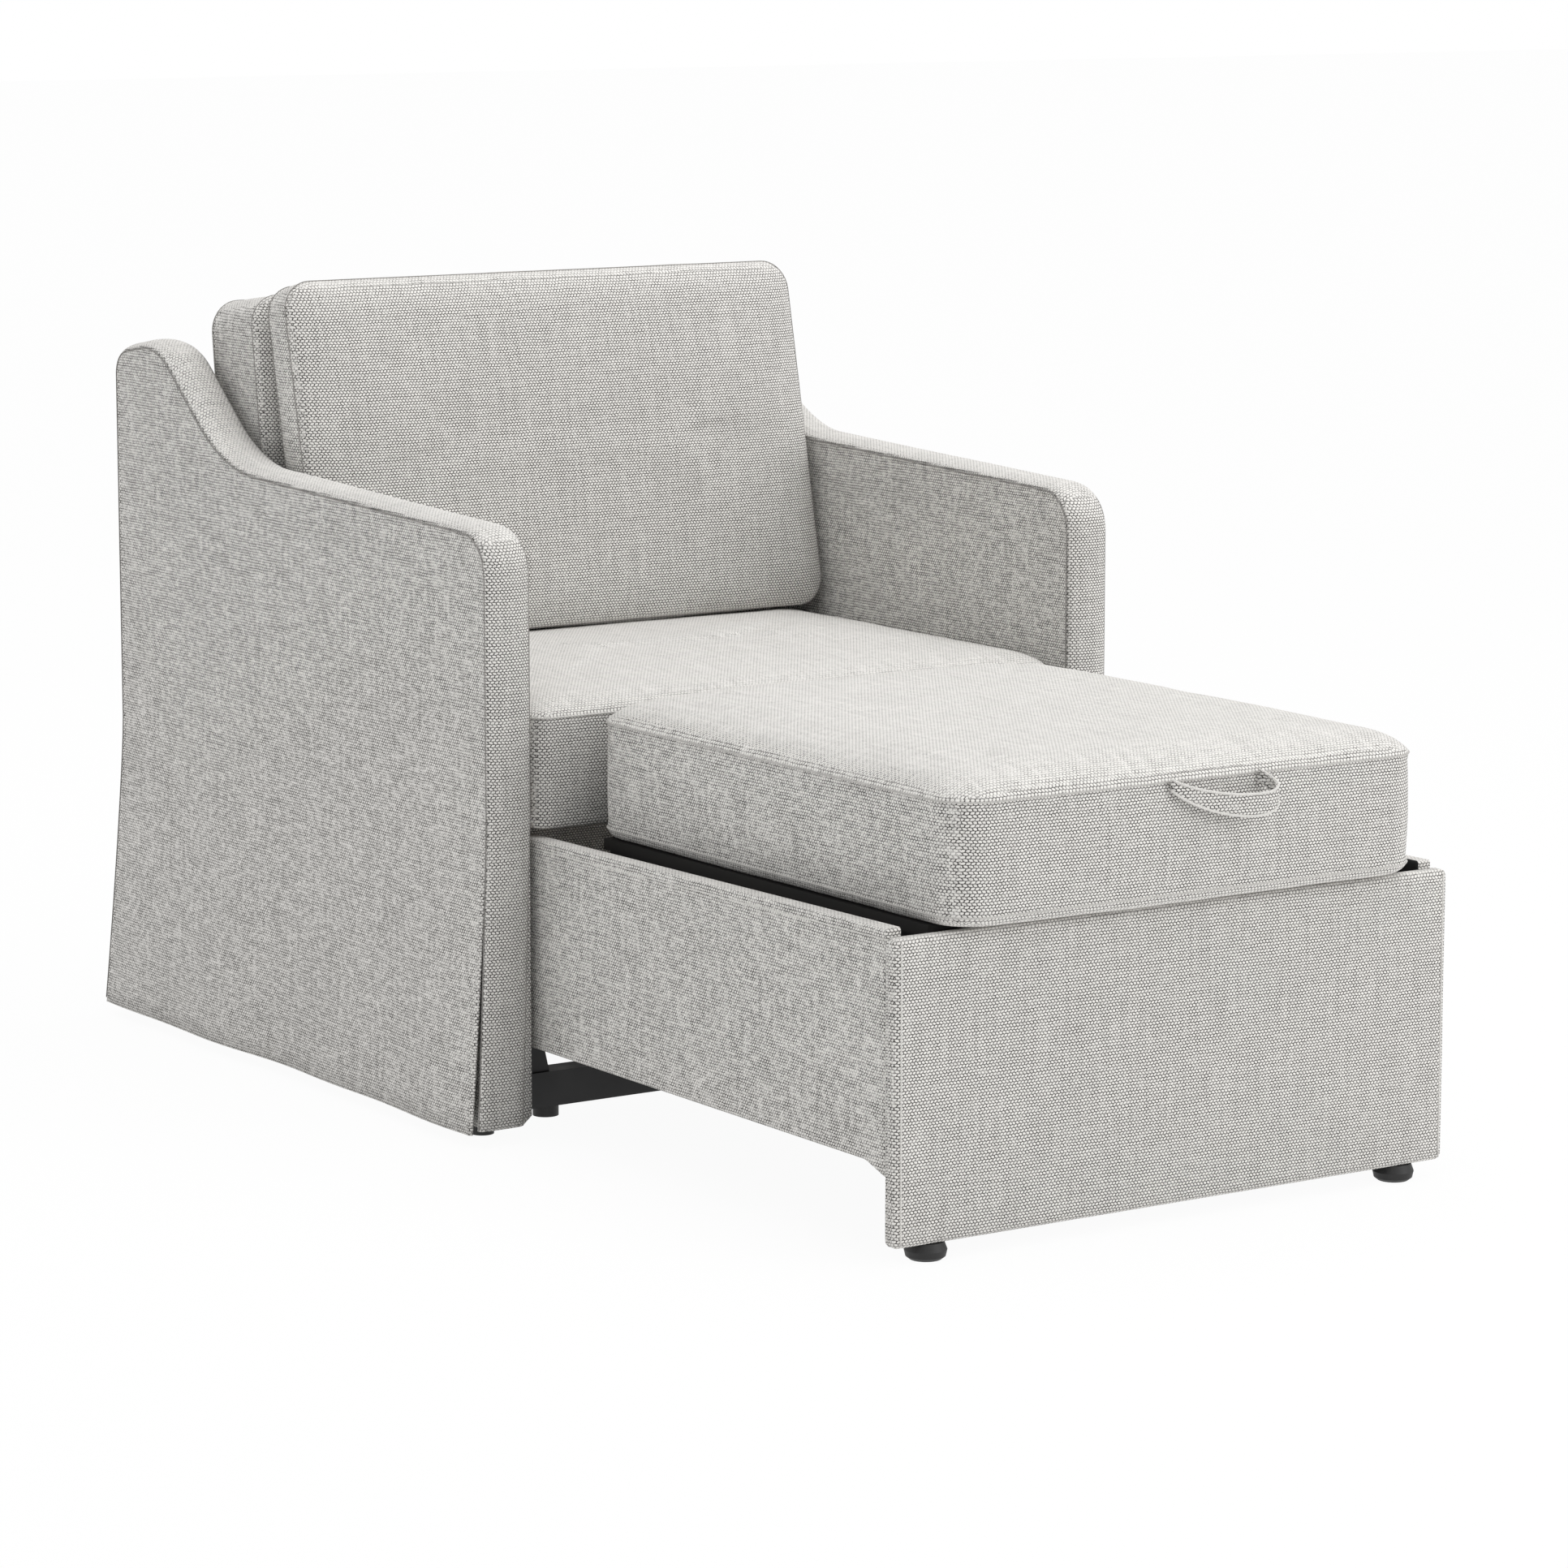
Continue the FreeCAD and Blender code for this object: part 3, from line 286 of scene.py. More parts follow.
def tube(name, path, radius, material, closed=True):
    """A thin cord that follows a line of points, used for welts, for hem folds and for painted shadow along
    seams.
    """
    sides = 8
    count = len(path)
    path = [Vector(p) for p in path]
    points = []
    for i in range(count):
        before = path[i - 1] if (i > 0 or closed) else path[0]
        after = path[(i + 1) % count] if (i < count - 1 or closed) else path[-1]
        along = (after - before).normalized()
        side = along.cross(Vector((0, 0, 1)))
        if side.length < 0.2:
            side = along.cross(Vector((0, 1, 0)))
        side.normalize()
        rise = side.cross(along).normalized()
        for k in range(sides):
            turn = 2 * math.pi * k / sides
            points.append(path[i] + side * (radius * math.cos(turn)) + rise * (radius * math.sin(turn)))
    rings = count if closed else count - 1
    faces = []
    for i in range(rings):
        n = (i + 1) % count
        for k in range(sides):
            m = (k + 1) % sides
            faces.append((i * sides + k, i * sides + m, n * sides + m, n * sides + k))
    if not closed:
        faces.append(tuple(range(sides)))
        faces.append(tuple((count - 1) * sides + k for k in reversed(range(sides))))
    piece = mesh_object(name, points, faces, material)
    outward(piece)
    return piece


def rounded_ring(half_w, half_d, corner, bow, side_count, corner_count):
    """Points of a round-cornered rectangle whose sides bow outwards, in order."""
    ring = []
    corner = min(corner, half_w * 0.9, half_d * 0.9)
    spans = [((half_w, -half_d + corner), (half_w, half_d - corner), (1, 0)),
             ((half_w - corner, half_d), (-half_w + corner, half_d), (0, 1)),
             ((-half_w, half_d - corner), (-half_w, -half_d + corner), (-1, 0)),
             ((-half_w + corner, -half_d), (half_w - corner, -half_d), (0, -1))]
    for start, end, out in spans:
        for k in range(side_count):
            t = k / side_count
            swell = bow * (1 - (2 * t - 1) ** 2)
            ring.append((start[0] + (end[0] - start[0]) * t + out[0] * swell,
                         start[1] + (end[1] - start[1]) * t + out[1] * swell))
        centre = (end[0] - out[0] * corner, end[1] - out[1] * corner)
        first = math.atan2(out[1], out[0])
        for k in range(corner_count):
            turn = first + math.pi / 2 * k / corner_count
            ring.append((centre[0] + corner * math.cos(turn), centre[1] + corner * math.sin(turn)))
    return ring


def boxed_cushion(name, half_w, half_d, low, high, crown_top, crown_low, corner, bulge, place,
                  reach=0.20, reach_low=0.10, shoulder=0.045, side_count=46, corner_count=9):
    """Closed cushion with seams at heights low and high, whose band bulges between them and whose
    panels swell to crown_top and crown_low beyond them; gives the piece and its seams' rows."""
    deepest = min(half_w, half_d) - 0.012
    panel_steps, band_steps = 30, 15

    def panel(seam, rise, run):
        """Inset and height of each row of a panel, from its seam inwards."""
        out = []
        for k in range(panel_steps + 1):
            inset = deepest * (k / panel_steps) ** 1.9
            broad = 1 - (1 - min(inset / run, 1.0)) ** 2.2
            over = 1 - min(inset / min(shoulder, run), 1.0)
            round_edge = math.sqrt(1 - over * over)
            out.append((inset, seam + rise * (0.45 * broad + 0.55 * round_edge), 0.0))
        return out

    band = []
    for k in range(1, band_steps):
        t = k / band_steps
        full = math.sin(math.pi * t) ** 0.7
        band.append((0.0016 * (1 - full), low + (high - low) * t, bulge * full))
    bottom = panel(low, -crown_low, reach_low)
    profile = list(reversed(bottom)) + band + panel(high, crown_top, reach)
    rings = []
    for inset, z, bow in profile:
        ring = rounded_ring(half_w - inset, half_d - inset, max(corner - inset * 0.3, 0.006), bow,
                            side_count, corner_count)
        rings.append([place(Vector((px, py, z))) for px, py in ring])
    count = len(rings[0])
    faces = loop_faces(len(rings), count)
    faces.append(tuple(reversed(range(count))))
    faces.append(tuple((len(rings) - 1) * count + k for k in range(count)))
    piece = mesh_object(name, [p for ring in rings for p in ring], faces, upholstery)
    outward(piece)
    low_row = len(bottom) - 1
    return {"piece": piece, "low_row": low_row, "high_row": low_row + band_steps, "count": count}


def inflate(cushion, pressure, cap):
    """Blow the cover up against its own stitching, then keep the result without its creases."""
    piece = cushion["piece"]
    count = cushion["count"]
    steps = 12
    group = piece.vertex_groups.new(name="stitched")
    group.add(list(range((cushion["low_row"] + 1) * count)), 1.0, "REPLACE")
    group.add([cushion["high_row"] * count + k for k in range(count)], 1.0, "REPLACE")
    before = np.array([v.co[:] for v in piece.data.vertices])
    cover = piece.modifiers.new("cover", "CLOTH")
    settings = cover.settings
    settings.quality = 4
    settings.mass = 0.3
    settings.tension_stiffness = 12.0
    settings.compression_stiffness = 12.0
    settings.shear_stiffness = 5.0
    settings.bending_stiffness = 0.8
    settings.vertex_group_mass = "stitched"
    settings.use_pressure = True
    settings.uniform_pressure_force = pressure
    settings.effector_weights.gravity = 0.0
    cover.collision_settings.use_self_collision = False
    cover.point_cache.frame_start = 1
    cover.point_cache.frame_end = steps + 2
    scene = bpy.context.scene
    for step in range(1, steps + 1):
        scene.frame_set(step)
    ready = piece.evaluated_get(bpy.context.evaluated_depsgraph_get())
    after = np.array([v.co[:] for v in ready.data.vertices])
    piece.modifiers.remove(cover)
    scene.frame_set(1)
    move = (after - before).reshape(-1, count, 3)
    for turn in range(14):
        move = (np.roll(move, 1, axis=1) + 2 * move + np.roll(move, -1, axis=1)) / 4
        move[1:-1] = (move[:-2] + 2 * move[1:-1] + move[2:]) / 4
        move[:cushion["low_row"] + 1] = 0.0
        move[cushion["high_row"]] = 0.0
    move = move.reshape(-1, 3)
    length = np.linalg.norm(move, axis=1, keepdims=True)
    move = move * np.minimum(1.0, cap / np.maximum(length, 1e-9))
    piece.data.vertices.foreach_set("co", (before + move).astype(np.float32).ravel())
    piece.data.update()
    piece.vertex_groups.clear()


def row_points(cushion, row):
    count = cushion["count"]
    return [cushion["piece"].data.vertices[row * count + k].co.copy() for k in range(count)]


def soften(cushion, amount, scale, seed):
    """Shallow hand-made unevenness of a stuffed cover, fading out at its seams."""
    piece = cushion["piece"]
    normals = [v.normal.copy() for v in piece.data.vertices]
    for index, vertex in enumerate(piece.data.vertices):
        row = index // cushion["count"]
        fade = min(1.0, min(abs(row - cushion["low_row"]), abs(row - cushion["high_row"])) / 5.0)
        swell = ripple(vertex.co, scale, seed) + 0.5 * ripple(vertex.co, scale * 2.7, seed + 1)
        vertex.co += normals[index] * (amount * swell * fade)
    piece.data.update()


cushion_low, cushion_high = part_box("extension_cushion")
cushion_centre = Vector((0.0, (cushion_low.y + cushion_high.y) / 2, 0.0))
extension = boxed_cushion(
    "extension_cushion_cover", half_w=0.2866, half_d=0.3258, low=cushion_low.z + 0.0115,
    high=cushion_high.z - 0.0315, crown_top=0.0285, crown_low=0.0108, corner=0.044, bulge=0.0045,
    place=lambda p: p + cushion_centre, reach=0.095, reach_low=0.012, shoulder=0.036)
inflate(extension, pressure=2.4, cap=0.0022)
soften(extension, 0.0012, 7.0, 3)
finish_piece(extension["piece"], "platform", ["extension_cushion"])
for row, label in ((extension["low_row"], "lower"), (extension["high_row"], "upper")):
    welt = tube("extension_cushion_%s_welt" % label, row_points(extension, row), 0.0009, seam_cloth)
    finish_piece(welt, "platform")


# Pull tab
# A folded strap of the cover cloth, both ends caught in the upper seam at the front. It
# droops outwards and to one side, so its hemmed upper edge shows.
tab_low, tab_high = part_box("pull_tab")
strap_height = 0.0215
strap_steps = 26
strap_across = 9
seam_level = cushion_high.z - 0.0330
strap_line = geometry.interpolate_bezier(
    Vector((tab_low.x - 0.0220, tab_high.y - 0.0030, seam_level)),
    Vector((tab_low.x + 0.0130, tab_high.y - 0.0250, seam_level - 0.0300)),
    Vector((tab_high.x + 0.0320, tab_high.y - 0.0400, seam_level - 0.0360)),
    Vector((tab_high.x - 0.0150, tab_high.y - 0.0030, seam_level)), strap_steps + 1)
strap_points = []
for i, centre in enumerate(strap_line):
    along = (strap_line[min(i + 1, strap_steps)] - strap_line[max(i - 1, 0)]).normalized()
    out = Vector((along.y, -along.x, 0)).normalized()
    height = strap_height * (0.50 + 0.50 * math.sin(math.pi * i / strap_steps))
    ring = []
    for k in range(strap_across + 1):
        t = k / strap_across
        bow = 0.0016 * math.sin(math.pi * t)
        thick = 0.00115 + 0.0006 * (math.exp(-(t / 0.07) ** 2) + math.exp(-((1 - t) / 0.07) ** 2))
        middle_point = centre + out * bow + Vector((0, 0, (0.5 - t) * height))
        ring.append((middle_point + out * thick, middle_point - out * thick))
    strap_points.extend([p for p, q in ring] + [q for p, q in reversed(ring)])
strap_count = 2 * (strap_across + 1)
strap_faces = loop_faces(strap_steps + 1, strap_count)
strap_faces.append(tuple(range(strap_count)))
strap_faces.append(tuple(strap_steps * strap_count + k for k in reversed(range(strap_count))))
strap = mesh_object("pull_tab_strap", strap_points, strap_faces, upholstery)
outward(strap)
finish_piece(strap, "platform", ["pull_tab"])
# The hems are drawn in a paler copy of the cover cloth, with light gaps: a painted highlight along their
# folds.
hem_highlight_cloth = weave_material("grey_hem_painted_highlight", pale_yarn, (0.42, 0.41, 0.39, 1.0), 0.30, 2.0, 2.0)
for first, label in ((0, "upper"), (strap_across, "lower")):
    line = [strap_points[i * strap_count + first] for i in range(strap_steps + 1)]
    fold = tube("pull_tab_%s_hem" % label, line, 0.0013, hem_highlight_cloth, closed=False)
    finish_piece(fold, "platform")


# Seat cushion
# The fixed seat: a crowned boxed cover over foam on the springs. Its front hangs down as
# an apron in front of the front rail, and behind the apron it is cut away for the rails.
seat_low, seat_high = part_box("seat_cushion")
rail_low, rail_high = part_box("seat_front_rail")
seat_centre = Vector((0.0, (seat_low.y + seat_high.y) / 2, 0.0))


def over_rails(p):
    """Lift the underside over the seat frame, behind the apron."""
    q = p + seat_centre
    if q.y > rail_low.y - 0.002 and q.z < rail_high.z + 0.001:
        q.z = rail_high.z + 0.001
    return q


seat = boxed_cushion(
    "seat_cushion_cover", half_w=0.3375, half_d=0.2595, low=seat_low.z + 0.004, high=seat_high.z - 0.0310,
    crown_top=0.0290, crown_low=0.003, corner=0.026, bulge=0.0022, place=over_rails, reach_low=0.006,
    shoulder=0.046)
inflate(seat, pressure=1.6, cap=0.0020)
soften(seat, 0.0010, 6.0, 11)
finish_piece(seat["piece"], "chair", ["seat_cushion"])
seat_welt = tube("seat_cushion_welt", row_points(seat, seat["high_row"]), 0.0009, seam_cloth)
finish_piece(seat_welt, "chair")


# Loose back cushion
# A boxed cushion of soft filling that leans on the backrest and stands on the seat. The
# front swells far out of its seam, and the narrow band shows along its top and side.
pillow_low, pillow_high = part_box("back_cushion")
pillow_half_w = (pillow_high.x - pillow_low.x) / 2 - 0.0035
pillow_lean = math.radians(12.0)
pillow_foot = Vector((0.0, panel_face + 1.129, 0.4668))
pillow_half_h = 0.2000


def on_pillow(p):
    """From the cushion's width, height and thickness to the chair; its foot sags onto the seat."""
    sag = min(max((p.z + 0.020) / 0.07, 0.0), 1.0) * min(max((-p.y - 0.15) / 0.05, 0.0), 1.0)
    up = p.y + pillow_half_h + 0.001 - 0.0060 * sag
    return pillow_foot + Vector((p.x, up * math.sin(pillow_lean) - p.z * math.cos(pillow_lean),
                                 up * math.cos(pillow_lean) + p.z * math.sin(pillow_lean)))


pillow = boxed_cushion(
    "back_cushion_cover", half_w=pillow_half_w, half_d=pillow_half_h, low=-0.0195, high=0.0195,
    crown_top=0.0280, crown_low=0.0250, corner=0.034, bulge=0.0025, place=on_pillow, reach=0.150,
    shoulder=0.044)
inflate(pillow, pressure=2.6, cap=0.0014)
soften(pillow, 0.0016, 6.5, 23)
finish_piece(pillow["piece"], "back_cushion", ["back_cushion"])
# Along its seams lie thin cords in a dark copy of the cloth: painted shadow in the seams.
seam_shadow_pale = (0.36, 0.345, 0.33, 1.0)
seam_shadow_dark = (0.13, 0.125, 0.115, 1.0)
seam_shadow = weave_material("grey_seam_painted_shadow", seam_shadow_pale, seam_shadow_dark, 0.5, 2.0, 2.0)
for row, label in ((pillow["low_row"], "rear"), (pillow["high_row"], "front")):
    welt = tube("back_cushion_%s_welt" % label, row_points(pillow, row), 0.0006, seam_shadow)
    finish_piece(welt, "back_cushion")


# Backrest
# The reclining back: a padded slab whose lower front edge is rounded about the hinge, so
# that it can turn. A seam runs round its side, a little behind the front face.
back_lean = math.radians(7.3)
hinge_point = Vector((0.0, panel_face + 1.240, 0.400))
hinge_clear = 0.0435


def on_backrest(p):
    """From width, height above the hinge and depth to the chair, clear of the hinge."""
    up = p.y + 0.200
    deep = -p.z + 0.030
    far = math.hypot(up, deep)
    if up < 0 and deep < 0 and far > hinge_clear:
        up *= hinge_clear / far
        deep *= hinge_clear / far
    return hinge_point + Vector((p.x, up * math.sin(back_lean) + deep * math.cos(back_lean),
                                 up * math.cos(back_lean) - deep * math.sin(back_lean)))


back = boxed_cushion(
    "backrest_cover", half_w=0.3325, half_d=0.2435, low=-0.0370, high=0.0560, crown_top=0.0160,
    crown_low=0.0350, corner=0.034, bulge=0.0010, place=on_backrest, reach=0.030, reach_low=0.060,
    shoulder=0.040)
soften(back, 0.0010, 5.0, 31)
finish_piece(back["piece"], "backrest", ["back_cover"])
# Its seams are thin cords in the dark seam cloth, painted shadow in the seams.
for row, label in ((back["low_row"], "rear"), (back["high_row"], "front")):
    welt = tube("backrest_%s_seam" % label, row_points(back, row), 0.0006, seam_shadow)
    finish_piece(welt, "backrest")


# Arms
# Each arm is a timber panel in foam. A crowned band runs up the front, along the top, over
# the wing and down the rear. The outer side is one cloth from the band's seam to a flared
# hem, open at the front corner in a slit; the band ends below in a flap with its own hem.
arm_inner = 0.3445
arm_outer = 0.3975
arm_front = panel_face + 0.652
arm_rear = panel_face + 1.474
skirt_line = 0.345
band_hem = 0.0185
inner_hem = 0.0270
panel_hem = 0.0135
arm_crown = 0.0078
flare = 0.0195
front_flare = 0.0154
inner_return = 0.0149
pad_margin = 0.0112
edge_distances = (0.0, 0.0008, 0.0018, 0.0030, 0.0045, 0.0060, 0.0070, 0.0080, 0.0095, 0.0140, 0.0220)
arm_corners = ((arm_front, 0.637, 0.045), (panel_face + 1.218, 0.659, 0.220),
               (panel_face + 1.374, 0.786, 0.088), (arm_rear, 0.770, 0.030))


def arc_stations():
    """Points along the top of an arm, from the front corner to the rear one, with normals."""
    stops = [(arm_front, 0.0, 0.0)] + list(arm_corners) + [(arm_rear, 0.0, 0.0)]
    stations = []
    for i in range(1, len(stops) - 1):
        here = Vector((stops[i][0], stops[i][1]))
        radius = stops[i][2]
        to_before = (Vector((stops[i - 1][0], stops[i - 1][1])) - here).normalized()
        to_after = (Vector((stops[i + 1][0], stops[i + 1][1])) - here).normalized()
        half = to_before.angle(to_after) / 2
        reach = radius / math.tan(half)
        centre = here + (to_before + to_after).normalized() * (radius / math.sin(half))
        first = here + to_before * reach
        last = here + to_after * reach
        if stations:
            start = stations[-1][0]
            run = (first - start).length
            pieces = max(int(run / 0.014), 1)
            for k in range(1, pieces):
                stations.append((start.lerp(first, k / pieces), stations[-1][1]))
        ray_first = (first - centre).normalized()
        ray_last = (last - centre).normalized()
        sign = 1.0 if (first - centre).dot(Vector((-to_before.y, to_before.x))) < 0 else -1.0
        steps = 14
        for k in range(steps + 1):
            turn = ray_first.angle(ray_last) * k / steps
            spin = -turn if ray_first.cross(ray_last) < 0 else turn
            ray = Vector((ray_first.x * math.cos(spin) - ray_first.y * math.sin(spin),
                          ray_first.x * math.sin(spin) + ray_first.y * math.cos(spin)))
            stations.append((centre + ray * radius, ray * sign))
    return stations


def fall(z):
    """How far down the flared part a height is, from 0 at the skirt line to 1 at the hem."""
    return min(max((skirt_line - z) / (skirt_line - 0.014), 0.0), 1.0)


def column_heights(top, hem):
    """Heights of the rows of one column of cloth, close together below its top seam."""
    rows = [top - d for d in edge_distances]
    last = rows[-1]
    lower = 34
    for k in range(1, lower + 1):
        rows.append(last + (hem - last) * k / lower)
    return rows


top_run = arc_stations()
outline = [(arm_front, 0.0)] + [(p.x, p.y) for p, n in top_run] + [(arm_rear, 0.0)]


def edge_distance(y, z):
    """Distance from a place on the side of an arm to the nearest seam of the band."""
    best = 1.0
    for (ay, az), (by, bz) in zip(outline, outline[1:]):
        length = (by - ay) ** 2 + (bz - az) ** 2
        t = min(max(((y - ay) * (by - ay) + (z - az) * (bz - az)) / max(length, 1e-12), 0.0), 1.0)
        best = min(best, math.hypot(y - ay - (by - ay) * t, z - az - (bz - az) * t))
    return best


def seam_relief(distance, depth):
    """Cloth dips into its seam, and a row of stitches 7 mm in pulls a fine groove."""
    dip = -depth * math.exp(-(distance / 0.0014) ** 2)
    stitch = -0.00055 * math.exp(-((distance - 0.0070) / 0.0008) ** 2)
    fold = 0.0006 * math.exp(-((distance - 0.0042) / 0.0022) ** 2)
    return dip + stitch + fold


def band_path():
    """Stations of the whole band: up the front, along the top and down the rear."""
    ends = [column_heights(place.y, band_hem) for place, out in (top_run[0], top_run[-1])]
    front = [(Vector((arm_front, z)), Vector((-1, 0))) for z in ends[0]]
    rear = [(Vector((arm_rear, z)), Vector((1, 0))) for z in ends[1]]
    return list(reversed(front))[:-1] + top_run + rear[1:]


def band_point(side, station, share):
    """A point of the band at one station, share 0 at the inner seam and 1 at the outer."""
    place, out = station
    low = fall(place.y)
    at_front = place.x < (arm_front + arm_rear) / 2
    inner_x = arm_inner + (inner_return * low if at_front else 0.0)
    outer_x = arm_outer + (front_flare if at_front else flare) * low ** 1.2
    crown = arm_crown * (1 - 0.65 * low)
    swell = crown * (1 - abs(2 * share - 1) ** 2.3)
    edge = min(share, 1 - share) * (arm_outer - arm_inner)
    dip = 0.0016 * math.exp(-(edge / 0.0016) ** 2)
    push = swell - dip + 0.0006 * ripple((share * 0.2, place.x, place.y), 11.0, 5) * (edge / 0.02)
    y = place.x + out.x * push
    z = place.y + out.y * push
    if not at_front:
        y += flare * low ** 1.25
    else:
        y -= 0.0050 * low ** 1.25
    x = inner_x + (outer_x - inner_x) * share
    return Vector((side * x, y, z))


def arm_pad(side, label):
    """Closed padded body of an arm: band, inner side, and a hollow underside for the frame."""
    path = band_path()
    across = 18
    points = [band_point(side, station, k / across) for station in path for k in range(across + 1)]
    faces = loop_faces(len(path), across + 1, closed=False)
    corner = len(column_heights(0.5, 0.0)) - 1
    columns = len(top_run)
    for share, hem in ((0.0, inner_hem), (1.0, band_hem)):
        base = len(points)
        heights = [column_heights(place.y, hem) for place, out in top_run]
        for i, (place, out) in enumerate(top_run):
            for k, z in enumerate(heights[i]):
                if i == 0:
                    points.append(band_point(side, path[corner - k], share))
                elif i == columns - 1:
                    points.append(band_point(side, path[corner + columns - 1 + k], share))
                elif k == 0:
                    points.append(band_point(side, path[corner + i], share))
                else:
                    y = place.x
                    low = fall(z)
                    gap = edge_distance(y, z)
                    along = (y - arm_front) / (arm_rear - arm_front)
                    y += flare * low ** 1.25 * along ** 3
                    if share == 0.0:
                        x = arm_inner + 0.0004 - seam_relief(gap, 0.0012) - 0.0016 * min(gap / 0.12, 1.0)
                        x += 0.0009 * ripple((y, z, side), 7.0, 41) * min(gap / 0.05, 1.0)
                    else:
                        depth = 0.0030 + 0.011 * min(low * 8, 1.0)
                        x = arm_outer - depth * min(gap / 0.0008, 1.0) + flare * low ** 1.2
                    points.append(Vector((side * x, y, z)))
        rows = corner + 1
        faces += [tuple(base + v for v in face) for face in loop_faces(columns, rows, closed=False)]
    piece = mesh_object("arm_pad_%s" % label, points, faces, upholstery)
    work = bmesh.new()
    work.from_mesh(piece.data)
    bmesh.ops.remove_doubles(work, verts=work.verts, dist=1e-6)
    rim = [e for e in work.edges if e.is_boundary]
    for level in (None, 0.30):
        grown = bmesh.ops.extrude_edge_only(work, edges=rim)["geom"]
        for vert in (g for g in grown if isinstance(g, bmesh.types.BMVert)):
            x = min(max(abs(vert.co.x), arm_inner + pad_margin), arm_outer - pad_margin)
            y = min(max(vert.co.y, arm_front + pad_margin), arm_rear - pad_margin)
            vert.co = Vector((side * x, y, level or vert.co.z + 0.003))
        rim = [g for g in grown if isinstance(g, bmesh.types.BMEdge)]
    bmesh.ops.holes_fill(work, edges=rim, sides=0)
    bmesh.ops.remove_doubles(work, verts=work.verts, dist=2e-5)
    bmesh.ops.recalc_face_normals(work, faces=work.faces)
    work.to_mesh(piece.data)
    work.free()
    piece.data.polygons.foreach_set("use_smooth", [True] * len(piece.data.polygons))
    return piece


def sheet_mesh(name, layers):
    """Cloth from two grids of columns of points, its thickness apart, closed along its edges."""
    columns, rows = len(layers[0]), len(layers[0][0])
    step = columns * rows
    faces = loop_faces(columns, rows, closed=False)
    faces += [tuple(v + step for v in reversed(face)) for face in faces]
    border = [i * rows for i in range(columns)]
    border += [(columns - 1) * rows + k for k in range(1, rows)]
    border += [i * rows + rows - 1 for i in range(columns - 2, -1, -1)]
    border += list(range(rows - 2, 0, -1))
    faces += [(a, b, b + step, a + step) for a, b in zip(border, border[1:] + border[:1])]
    piece = mesh_object(name, [p for grid in layers for column in grid for p in column], faces, upholstery)
    outward(piece)
    return piece


def outer_panel(side, label):
    """Cloth of the outer side: sewn along the band, loose below, and flared to its hem."""
    thick = 0.0016
    layers = []
    for depth in (0.0, thick):
        grid = []
        for i, (place, out) in enumerate(top_run):
            column = []
            for z in column_heights(place.y - 0.0004, panel_hem):
                y = place.x
                low = fall(z)
                gap = edge_distance(y, z)
                along = (y - arm_front) / (arm_rear - arm_front)
                slit = 0.0042 * min(low * 14, 1.0) * max(1 - along * 6, 0.0)
                y += flare * low ** 1.25 * along ** 3 + slit
                wave = 0.0032 * low * math.sin(along * 9.2 + 0.7) + 0.0018 * low * math.sin(along * 21.0)
                puff = 0.0022 * min(gap / 0.10, 1.0) * (1 - low)
                x = arm_outer - 0.0006 + puff + seam_relief(gap, 0.0016) + flare * low ** 1.2 + wave
                x += 0.0011 * ripple((y, z, side), 6.0, 51) * min(gap / 0.05, 1.0)
                x -= depth
                column.append(Vector((side * x, y, z)))
            grid.append(column)
        layers.append(grid)
    flat_area = 0.0
    for before, after in zip(layers[0], layers[0][1:]):
        for a, b, c, d in zip(before, after, after[1:], before[1:]):
            flat_area += ((b - a).cross(d - a).length + (b - c).cross(d - c).length) / 2
    return sheet_mesh("arm_side_cloth_%s" % label, layers), flat_area


for side, label in ((1, "right"), (-1, "left")):
    pad = arm_pad(side, label)
    finish_piece(pad, "chair", ["arm_cover_%s" % label, "front_flap_%s" % label])
    cloth_side, cut_area = outer_panel(side, label)
    finish_piece(cloth_side, "chair", ["skirt_%s" % label])
    # Along both seams of the band lies a thin cord in the dark seam cloth, painted shadow in the seams.
    for share, edge in ((0.0, "inner"), (1.0, "outer")):
        line = [band_point(side, station, share) for station in band_path()]
        finish_piece(tube("arm_%s_%s_seam" % (label, edge), line, 0.0006, seam_shadow, closed=False),
                     "chair")


# Rear skirt
# A loose cloth tacked to the rear rail between the arms, hanging in shallow folds to a hem
# just above the floor.
rear_low, rear_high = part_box("rear_skirt")
rear_columns = 70
rear_rows = 26
rear_layers = []
for depth in (0.0, 0.0015):
    grid = []
    for i in range(rear_columns + 1):
        across_share = i / rear_columns
        column = []
        for k in range(rear_rows + 1):
            share = k / rear_rows
            x = -0.3425 + 0.685 * across_share
            y = rear_low.y + 0.0008 + 0.0118 * share + depth
            y += 0.0042 * share * math.sin(across_share * 6.5 * math.pi)
            y += 0.0012 * ripple((x, share, 0), 8.0, 61) * share
            z = rear_high.z - (rear_high.z - rear_low.z - 0.001) * share
            column.append(Vector((x, y, z)))
        grid.append(column)
    rear_layers.append(grid)
rear_cloth = sheet_mesh("rear_skirt_cloth", rear_layers)
finish_piece(rear_cloth, "chair", ["rear_skirt"])


# Front panel and box sides
# Boards wrapped in thin padding and the cover cloth, with the cloth folded and stitched
# along their edges. The inside of the box is lined in black.
lining, lining_tree, lining_shader = new_material("black_lining")
lining_grain = clouds(place_on(lining_tree), 900.0)
feed(mixed(lining_grain, (0.004, 0.004, 0.004, 1.0), (0.018, 0.018, 0.018, 1.0)), lining_shader, "Base Color")
lining_shader.inputs["Roughness"].default_value = 0.95

